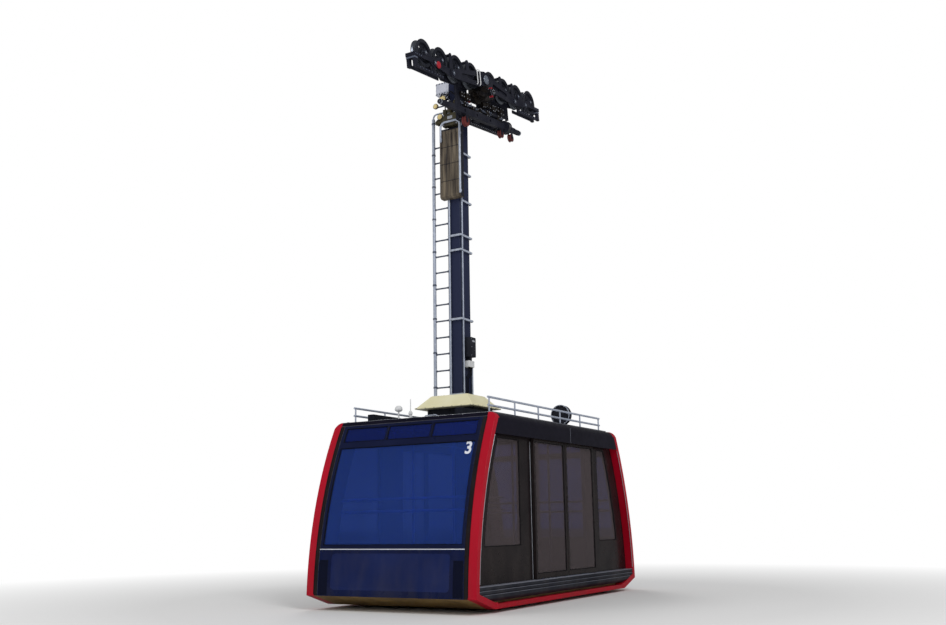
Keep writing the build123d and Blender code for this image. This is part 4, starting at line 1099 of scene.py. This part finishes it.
BOSS_HALF, BOSS_OUT = 115, COLUMN_LEFT + 280
boss = ((-BOSS_HALF, BOSS_HALF), (COLUMN_LEFT - 34, BOSS_OUT), (PIN_Z - BOSS_HALF, PIN_Z + BOSS_HALF))
boxes("bearing_box", "hanger", "boss_grey", [boss], 18)
boxes("bearing_cover", "hanger", "boss_grey", [((-121, -115), (585, 785), (PIN_Z - 78, PIN_Z + 78))], 4)
spots = [((x, BOSS_OUT, PIN_Z + z), LEFT) for x in (-92, 92) for z in (-92, 92)]
spots += [((-BOSS_HALF, y, PIN_Z + z), FORWARD) for y in spread(570, 790, 5) for z in (-94, 94)]
heads("bearing_bolts", "hanger", "turned_steel", "bolt", 11, spots)
cap = ((80, 0), (80, 16), (74, 20))
turned("bearing_cap", "hanger", "turned_steel", [((0, BOSS_OUT, PIN_Z), (0, 1, 0), cap)], 32)
spots = [(spot, LEFT) for spot in ring((0, BOSS_OUT + 20, PIN_Z), 56, 6, LEFT)]
spots += [(spot, RIGHT) for spot in ring((0, -157, PIN_Z), 58, 6, RIGHT)]
heads("pin_cap_bolts", "hanger", "dull_zinc", "bolt", 10, spots)

TANK_X, TANK_LOW = FRONT - 57.5, COLUMN_TOP - 100
hoses = [
    [(TANK_X, 345, TANK_LOW + 470), (TANK_X, 345, TANK_LOW + 560), (-215, 450, TANK_LOW + 660),
     (-140, 590, PIN_Z - 200), (-60, 600, PIN_Z - 112)],
    [(TANK_X, 465, TANK_LOW + 470), (TANK_X, 465, TANK_LOW + 560), (-235, 620, TANK_LOW + 650),
     (-150, 690, PIN_Z - 210), (-60, 700, PIN_Z - 112)],
    [(TANK_X - 10, 550, TANK_LOW + 315), (TANK_X - 10, 550, TANK_LOW + 400),
     (-190, 560, TANK_LOW + 480), (-60, 560, PIN_Z - 112)],
]
beads("pump_hoses", "hanger", "seal_rubber", 11, hoses, turn=60)
rows = [((TANK_X, y, TANK_LOW + 466), (0, 0, 1), ((18, 0), (18, 14), (13, 16), (13, 34))) for y in (345, 465)]
rows += [((TANK_X, y, TANK_LOW + 228), (0, 0, 1), ((49, 0), (49, 10), (45, 12))) for y in (345, 465)]
turned("pump_fittings", "hanger", "turned_steel", rows, 18)
fins = [((TANK_X, y, TANK_LOW + 120), (0, 1, 0), ((58, 0), (58, 5))) for y in spread(590, 700, 9)]
turned("motor_fins", "hanger", "pump_olive", fins, 28)
spots = [((FRONT - 115, y, z), FORWARD) for y in (300, 560) for z in (TANK_LOW + 24, TANK_LOW + 206)]
heads("tank_bolts", "hanger", "bare_aluminium", "bolt", 9, spots)
plate = ((FRONT - 118, FRONT - 115), (380, 480), (TANK_LOW + 120, TANK_LOW + 175))
boxes("tank_plate", "hanger", "bare_aluminium", [plate], 1)

WORK_LAMPS = [(-170, 640, PIN_Z - 235, 72), (-160, 790, PIN_Z - 330, 50), (-160, 700, PIN_Z - 545, 56)]
shells, lenses, arms = [], [], []
for x, y, z, r in WORK_LAMPS:
    shells.append(((x, y, z), FORWARD, ((r / 2, -46), (r - 3, -24), (r, 6), (r - 5, 8))))
    lenses.append(((x - 7, y, z), FORWARD, ((r - 8, 0), (r - 11, 6), (r / 2, 13), (8, 15))))
    arms.append([(x + 34, y, z), (x + 60, y, z), (x + 60, COLUMN_LEFT - 6, z)])
turned("work_lamps", "hanger", "box_grey", shells, 28)
turned("work_lamp_lenses", "hanger", "lamp_amber", lenses, 28)
beads("work_lamp_arms", "hanger", "dull_zinc", 13, arms, turn=20)

LADDER_X, LADDER_Y = -130, (COLUMN_LEFT + 20, COLUMN_LEFT + 320)
RUNG_STEP = 280
rungs = [FOOT_LOW + 60 + i * RUNG_STEP for i in range(1, 17)]
grips = [((LADDER_X, y, z), LEFT, ((17, 0), (17, 26))) for z in rungs
         for y in (LADDER_Y[0] + 18, LADDER_Y[1] - 44)]
turned("rung_sleeves", "hanger", "dull_zinc", grips, 16)
rows = [((LADDER_X, LADDER_Y[1], z), UP, ((34, -14), (34, 14)))
        for z in spread(FOOT_TOP + 160, PIN_Z - 640, 9)]
turned("stile_collars", "hanger", "dull_zinc", rows, 24)
rail_feet = [((LADDER_X, y, FOOT_TOP - 60), UP, ((46, 0), (46, 62), (24, 70))) for y in LADDER_Y]
turned("stile_feet", "hanger", "galvanised", rail_feet, 24)
sleeve = [[(LADDER_X, LADDER_Y[1], FOOT_TOP - 40), (LADDER_X, LADDER_Y[1], PIN_Z - 556)]]
beads("outer_stile_sleeve", "hanger", "galvanised", 29, sleeve)
top_loop = [[(LADDER_X, LADDER_Y[1], PIN_Z - 560), (LADDER_X, LADDER_Y[1], PIN_Z - 470),
             (LADDER_X, COLUMN_LEFT + 60, PIN_Z - 470), (LADDER_X, COLUMN_LEFT - 10, PIN_Z - 470)]]
beads("ladder_loop", "hanger", "galvanised", 15, top_loop, turn=70)
print("head dressed")

# %% [markdown]
# ## The carriage
# Each rocker holds two wheels, and what shows of its joints are caps and rings of bolts.
# The wheels turn, so their own hub covers ride on the wheels and not on the rocker
# beside them.

# %% Hubs, caps and bolt rings
AXLE_X, AXLE_Z = (330, 830, 1330, 1830), 220
OUTER_X, OUTER_Z, HALF_X, HALF_Z = 1580, 110, 1080, 60


def side_rings(x, out, z, radius, count, turn_by=0.0):
    """Spots of a bolt ring on each side of the carriage, looking away from its middle."""
    return [(spot, LEFT * side) for side in SIDES
            for spot in ring((x, side * out, z), radius, count, (0, side, 0), turn_by)]


for node, hub in WHEELS.items():
    x = hub.x * math.cos(SLOPE) + hub.z * math.sin(SLOPE)
    covers = [((x, side * WHEEL_HALF_W, AXLE_Z), (0, side, 0), ((54, -4), (54, 3), (44, 5)))
              for side in SIDES]
    turned(node + "_hub_covers", node, "dull_zinc", covers, 24, 0.6)
    spots = side_rings(x, WHEEL_HALF_W + 2, AXLE_Z, 49, 6)
    heads(node + "_hub_bolts", node, "bare_aluminium", "bolt", 3.6, spots)

# Places along X, how far out, height, bolt circle, bolts, their turn, cap radius and height
JOINTS = [
    (AXLE_X, 87, AXLE_Z, 27, 4, 0.6, 17, 7),
    ((OUTER_X,), 99, OUTER_Z, 30, 5, 0.0, 18, 9),
    ((HALF_X,), 135, HALF_Z, 36, 6, 0.0, 20, 8),
]
spots, caps = [], []
for places, out, z, circle, count, turn_by, cap_r, cap_h in JOINTS:
    for x in [end * place for place in places for end in SIDES]:
        spots += side_rings(x, out, z, circle, count, turn_by)
        profile = ((cap_r, -2), (cap_r, cap_h), (cap_r - 6, cap_h + 5))
        caps += [((x, side * out, z), (0, side, 0), profile) for side in SIDES]
heads("joint_bolts", "carriage", "dull_zinc", "bolt", 7, spots)
turned("joint_caps", "carriage", "turned_steel", caps, 20, 0.8)

FRAME_OUT, PIN_RISE, FRAME_MIDDLE, FRAME_TIP, RIVET_IN = 125, 200, 150, 72, 16
spots = [(spot, LEFT) for spot in ring((0, FRAME_OUT + 30, PIN_RISE), 99, 8, LEFT)]
heads("housing_bolts", "carriage", "dull_zinc", "bolt", 10, spots)
spots = []
for side, end in ((-1, -1), (-1, 1), (1, -1), (1, 1)):
    for share in spread(0.28, 0.9, 8):
        x, z = end * share * HALF_X, PIN_RISE + share * (HALF_Z - PIN_RISE)
        reach = FRAME_MIDDLE + share * (FRAME_TIP - FRAME_MIDDLE) - RIVET_IN
        spots += [((x, side * FRAME_OUT, z + way * reach), LEFT * side) for way in SIDES]
heads("frame_rivets", "carriage", "carriage_paint", "rivet", 8, spots)
print(len(caps), "joints capped and bolted")

# %% [markdown]
# The rope brake squeezes the track rope with springs. The coils stand round its four
# tie rods, and hoses lead from its spring packs to a valve block on the girder. Rope
# lies in turns on the drum at the far end of the haul beam.

# %% Springs, hoses and wound rope
ROD_Z, PACK_Z, PACK_OUT = (-105, 25), -40, 273
spots = [((0, side * 188, z), LEFT * side) for side in SIDES for z in ROD_Z]
coils("brake_springs", "carriage", "signal_red", 5.5, 19, 66, 4.5, spots)
rings = [((0, side * 185, z), (0, side, 0), ((26, 0), (26, 4))) for side in SIDES for z in ROD_Z]
rings += [((0, side * (PACK_OUT - 28), PACK_Z), (0, side, 0), ((60, 0), (60, 3))) for side in SIDES]
turned("spring_seats", "carriage", "turned_steel", rings, 24, 0.6)
heads("pack_bolts", "carriage", "bare_aluminium", "bolt", 6, side_rings(0, PACK_OUT, PACK_Z, 34, 6))
HAUL_Z, DRUM_X = -450, 778
drum = [((DRUM_X, 0, HAUL_Z), (1, 0, 0), ((118, 0), (118, 8), (100, 9), (100, 105), (118, 106), (118, 114)))]
turned("haul_drum", "carriage", "carriage_paint", drum, 40, 1)
spots = [((DRUM_X + 11, 0, HAUL_Z), on_carriage(1, 0, 0))]
coils("drum_rope", "carriage", "rope_steel", 7, 104, 92, 6.5, spots)
collars = [((side * x, 0, HAUL_Z), (side, 0, 0), ((44, 0), (44, 22))) for side in SIDES for x in (1210, 1368)]
turned("socket_collars", "carriage", "turned_steel", collars, 28, 1)

# %% [markdown]
# Behind the haul beam the photograph shows a dense, dark block of machinery with small
# glints. It is too dim to read piece by piece, so the block is filled with what such a
# carriage carries there: struts, valve blocks, pressure bottles, pipes and hoses on
# the near face of a plate girder, all within its outline.

# %% Machinery on the girder
GIRDER_Y, GIRDER_Z, GIRDER_X = 145, (-535, -195), (-522, 1040)
web = [(GIRDER_X, (GIRDER_Y, GIRDER_Y + 10), GIRDER_Z)]
flanges = [(GIRDER_X, (GIRDER_Y, GIRDER_Y + 75), (z, z + 14)) for z in (GIRDER_Z[0], GIRDER_Z[1] - 14)]
ribs = [((x, x + 20), (GIRDER_Y, GIRDER_Y + 75), GIRDER_Z) for x in spread(GIRDER_X[0], GIRDER_X[1] - 20, 8)]
UPPER_Z = 58
for low, high, count in ((205, 1300, 8), (-522, -205, 3)):
    web.append(((low, high), (GIRDER_Y, GIRDER_Y + 10), (GIRDER_Z[1], UPPER_Z)))
    flanges.append(((low, high), (GIRDER_Y, GIRDER_Y + 65), (UPPER_Z - 14, UPPER_Z)))
    ribs += [((x, x + 16), (GIRDER_Y, GIRDER_Y + 65), (GIRDER_Z[1], UPPER_Z))
             for x in spread(low, high - 16, count)]
boxes("haul_girder", "carriage", "carriage_paint", web + flanges + ribs, 3)
struts = []
for i, x in enumerate(spread(GIRDER_X[0] + 20, GIRDER_X[1] - 230, 7)):
    low, high = (GIRDER_Z[0] + 20, GIRDER_Z[1] - 20) if i % 2 else (GIRDER_Z[1] - 20, GIRDER_Z[0] + 20)
    struts.append([(x, GIRDER_Y - 12, low), (x + 210, GIRDER_Y - 12, high)])
beads("girder_struts", "carriage", "carriage_paint", 14, struts)
# Each block: X from and to, Y of its face, Z from and to
VALVES = [
    (-500, -400, 80, -150, -60), (-340, -230, 70, -170, -50), (230, 330, 74, -180, -60),
    (380, 520, 86, -150, -45), (570, 660, 68, -185, -70), (700, 820, 80, -140, -50),
    (870, 990, 72, -180, -60), (-430, -330, 70, -300, -215), (-290, -200, 84, -500, -420),
    (-150, 40, 66, -400, -250), (90, 170, 80, -330, -220), (220, 330, 72, -470, -360),
    (370, 470, 86, -310, -205), (640, 700, 70, -505, -400), (730, 880, 64, -360, -225),
    (905, 985, 84, -440, -330),
]
rows = [((a, b), (y, GIRDER_Y), (low, high)) for a, b, y, low, high in VALVES]
boxes("valve_blocks", "carriage", "greasy_iron", rows, 5)
spots = []
for a, b, y, low, high in VALVES:
    spots += [((x, y, z), RIGHT) for x in (a + 14, b - 14) for z in (low + 14, high - 14)]
spots += [((x, GIRDER_Y, z), RIGHT) for x in spread(GIRDER_X[0] + 12, GIRDER_X[1] - 12, 26)
          for z in (GIRDER_Z[0] + 10, GIRDER_Z[1] - 10)]
heads("valve_bolts", "carriage", "bare_aluminium", "bolt", 7, spots)
bottles = [((start, 104, z), (1, 0, 0), ((12, -18), (34, 0), (34, run), (12, run + 20)))
           for start, run, z in ((500, 230, -330), (-120, 190, -470), (560, 260, -245))]
turned("pressure_bottles", "carriage", "box_grey", bottles, 24, 1)
SOLENOIDS = ((-390, -255), (-90, -300), (-20, -350), (130, -275), (275, -415), (420, -255), (780, -290),
             (840, -290))
rows = [((x, 62, z), RIGHT, ((17, 0), (17, 30), (10, 34))) for x, z in SOLENOIDS]
turned("solenoids", "carriage", "dull_zinc", rows, 16, 1)
pipes = []
for step in range(4):
    x, y, z, drop = 960 - step * 60, 128 - step * 9, -212 - step * 16, 150 + 30 * step
    pipes.append([(-470, GIRDER_Y, z), (-455, y, z), (x, y, z), (x, y, z - drop),
                  (x, GIRDER_Y, z - drop - 10)])
beads("girder_pipes", "carriage", "dull_zinc", 5, pipes, turn=22)
hoses = []
for side, x in ((1, -150), (-1, 150)):
    hoses.append([(x / 2, 150 * side, -168), (x / 2, 150 * side, -230),
                  (x, 110, -290 if side > 0 else -270), (x, GIRDER_Y - 4, -300)])
beads("brake_hoses", "carriage", "seal_rubber", 9, hoses, turn=40)

puck = ((58, 0), (58, 16), (48, 24), (20, 27))
turned("signal_puck", "carriage", "signal_red", [((-1500, -97, 98), RIGHT, puck)], 40, 1.5)
loop = [(-300, -118, 62), (-300, -146, 62), (-300, -146, 318), (-205, -146, 318), (-205, -146, 62),
        (-205, -118, 62)]
beads("frame_loop", "carriage", "white_moulding", 9, [loop], turn=24)

GUIDE_START, GUIDE_TIP = 1290, 2160
spots, bands = [], []
for end in SIDES:
    bands.append((sorted((end * (GUIDE_TIP - 85), end * (GUIDE_TIP + 5))), (-83, 83), (64, 90)))
    for side in SIDES:
        rail = [end * x for x in spread(GUIDE_START + 30, GUIDE_TIP - 20, 11)]
        spots += [((x, side * 60, -45), LEFT * side) for x in rail]
        spots += [((end * (GUIDE_TIP - back), side * 91, 130), LEFT * side) for back in (20, 60, 120, 180)]
heads("guide_bolts", "carriage", "dull_zinc", "bolt", 8, spots)
boxes("guide_bands", "carriage", "dull_zinc", bands, 3)
print("carriage dressed")

# %% [markdown]
# ## Camera, floor and light
# The photograph was taken from thirteen metres in front of the near end, about a metre
# above the cabin's base. Standing at the same place keeps the same view of every face,
# a longer lens fills the frame with the object, and a slight roll makes the column
# lean as it does there.

# %% Camera
EYE, AIM = Vector((-14.045, -8.004, -7.296)), Vector((-0.35, 0.0, -3.95))
LENS, ROLL = 38, math.radians(-0.89)
eye = bpy.data.cameras.new("eye")
camera = bpy.data.objects.new("eye", eye)
bpy.context.scene.collection.objects.link(camera)
bpy.context.scene.camera = camera
eye.sensor_width = 36
eye.lens = LENS
eye.clip_start, eye.clip_end = 0.1, 600
camera.location = EYE
camera.rotation_mode = "QUATERNION"
camera.rotation_quaternion = (AIM - EYE).to_track_quat("-Z", "Y") @ Quaternion((0, 0, 1), ROLL)
print("camera", [round(v, 2) for v in EYE], "lens", eye.lens)

# %% [markdown]
# The studio is a pale floor that fades into a white surround, so no horizon cuts the
# picture. Near the object the floor is plain diffuse sheet and takes the shadow. The
# surround is white to the camera and through the glass, and dimmer as a light, because
# the dark shell should mirror a soft room and not a white wall. The fill lamp stands
# where the windscreen would mirror it as a pale arc, so it is hidden from reflections.

# %% Floor and light
floor_z = cad_low.z - 0.05
REACH, SHADOW_R, WHITE_R, PALE, MIRRORED_PALE = 150, 5.0, 13.0, 0.84, 0.22
sheet = bpy.data.meshes.new("floor_sheet")
sheet.from_pydata([(a * REACH, b * REACH, floor_z) for a, b in CORNERS], [], [(0, 1, 2, 3)])
floor = bpy.data.objects.new("floor_sheet", sheet)
bpy.context.scene.collection.objects.link(floor)
pale = bpy.data.materials.new("floor_pale")
pale.use_nodes = True
tree = pale.node_tree
shader = tree.nodes["Principled BSDF"]
shader.inputs["Roughness"].default_value = 0.95
shader.inputs["Specular IOR Level"].default_value = 0.0
mirrored = tree.nodes.new("ShaderNodeLightPath").outputs["Is Glossy Ray"]
link(tree, span(tree, mirrored, PALE, MIRRORED_PALE, 0.0, 1.0), shader.inputs["Base Color"])
shine = span(tree, mirrored, 1.0, MIRRORED_PALE, 0.0, 1.0)
glow = node_in(tree, "ShaderNodeEmission", {}, {"Strength": shine})
spot = tree.nodes.new("ShaderNodeTexCoord").outputs["Object"]
flat = node_in(tree, "ShaderNodeVectorMath", {1: (1, 1, 0)}, {0: spot}, operation="MULTIPLY")
far = node_in(tree, "ShaderNodeVectorMath", {}, {0: flat.outputs["Vector"]}, operation="LENGTH")
fade = span(tree, far.outputs["Value"], 0.0, 1.0, SHADOW_R, WHITE_R)
blend = node_in(tree, "ShaderNodeMixShader", {},
                {0: fade, 1: shader.outputs["BSDF"], 2: glow.outputs["Emission"]})
link(tree, blend.outputs["Shader"], tree.nodes["Material Output"].inputs["Surface"])
sheet.materials.append(pale)
floor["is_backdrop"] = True

world = bpy.data.worlds.new("studio")
bpy.context.scene.world = world
world.use_nodes = True
sky = world.node_tree
path = sky.nodes.new("ShaderNodeLightPath")
seen = node_in(sky, "ShaderNodeMath", {}, {
    0: path.outputs["Is Camera Ray"], 1: path.outputs["Is Transmission Ray"]}, operation="MAXIMUM")
LIT, MIRRORED = 0.5, 0.16
dim = span(sky, path.outputs["Is Glossy Ray"], LIT, MIRRORED, 0.0, 1.0)
strength = node_in(sky, "ShaderNodeMix", {"B": 1.0}, {"Factor": seen.outputs[0], "A": dim})
sky.nodes["Background"].inputs["Color"].default_value = (1, 1, 1, 1)
link(sky, strength.outputs["Result"], sky.nodes["Background"].inputs["Strength"])

LAMPS = [
    ("key", (-12, -16, 8), (0, 0, -5), 6.0, 1500),
    ("fill", (-18, 9, 2), (0, 0, -5), 9.0, 500),
    ("rim", (12, 10, 10), (0, 0, -4), 7.0, 700),
]
for name, stands, aims, size, power in LAMPS:
    lamp = bpy.data.lights.new(name, "AREA")
    lamp.energy = power
    lamp.size = size
    shown = bpy.data.objects.new(name, lamp)
    shown.location = stands
    shown.rotation_mode = "QUATERNION"
    shown.rotation_quaternion = (Vector(aims) - Vector(stands)).to_track_quat("-Z", "Y")
    shown.visible_glossy = name != "fill"
    bpy.context.scene.collection.objects.link(shown)
bpy.context.scene.view_settings.view_transform = "Standard"
print("floor at", round(floor_z, 2), "and", len(LAMPS), "lamps")

# %% Size of the dressed object
low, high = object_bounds()
print("visual box", [round(v, 3) for v in high - low])
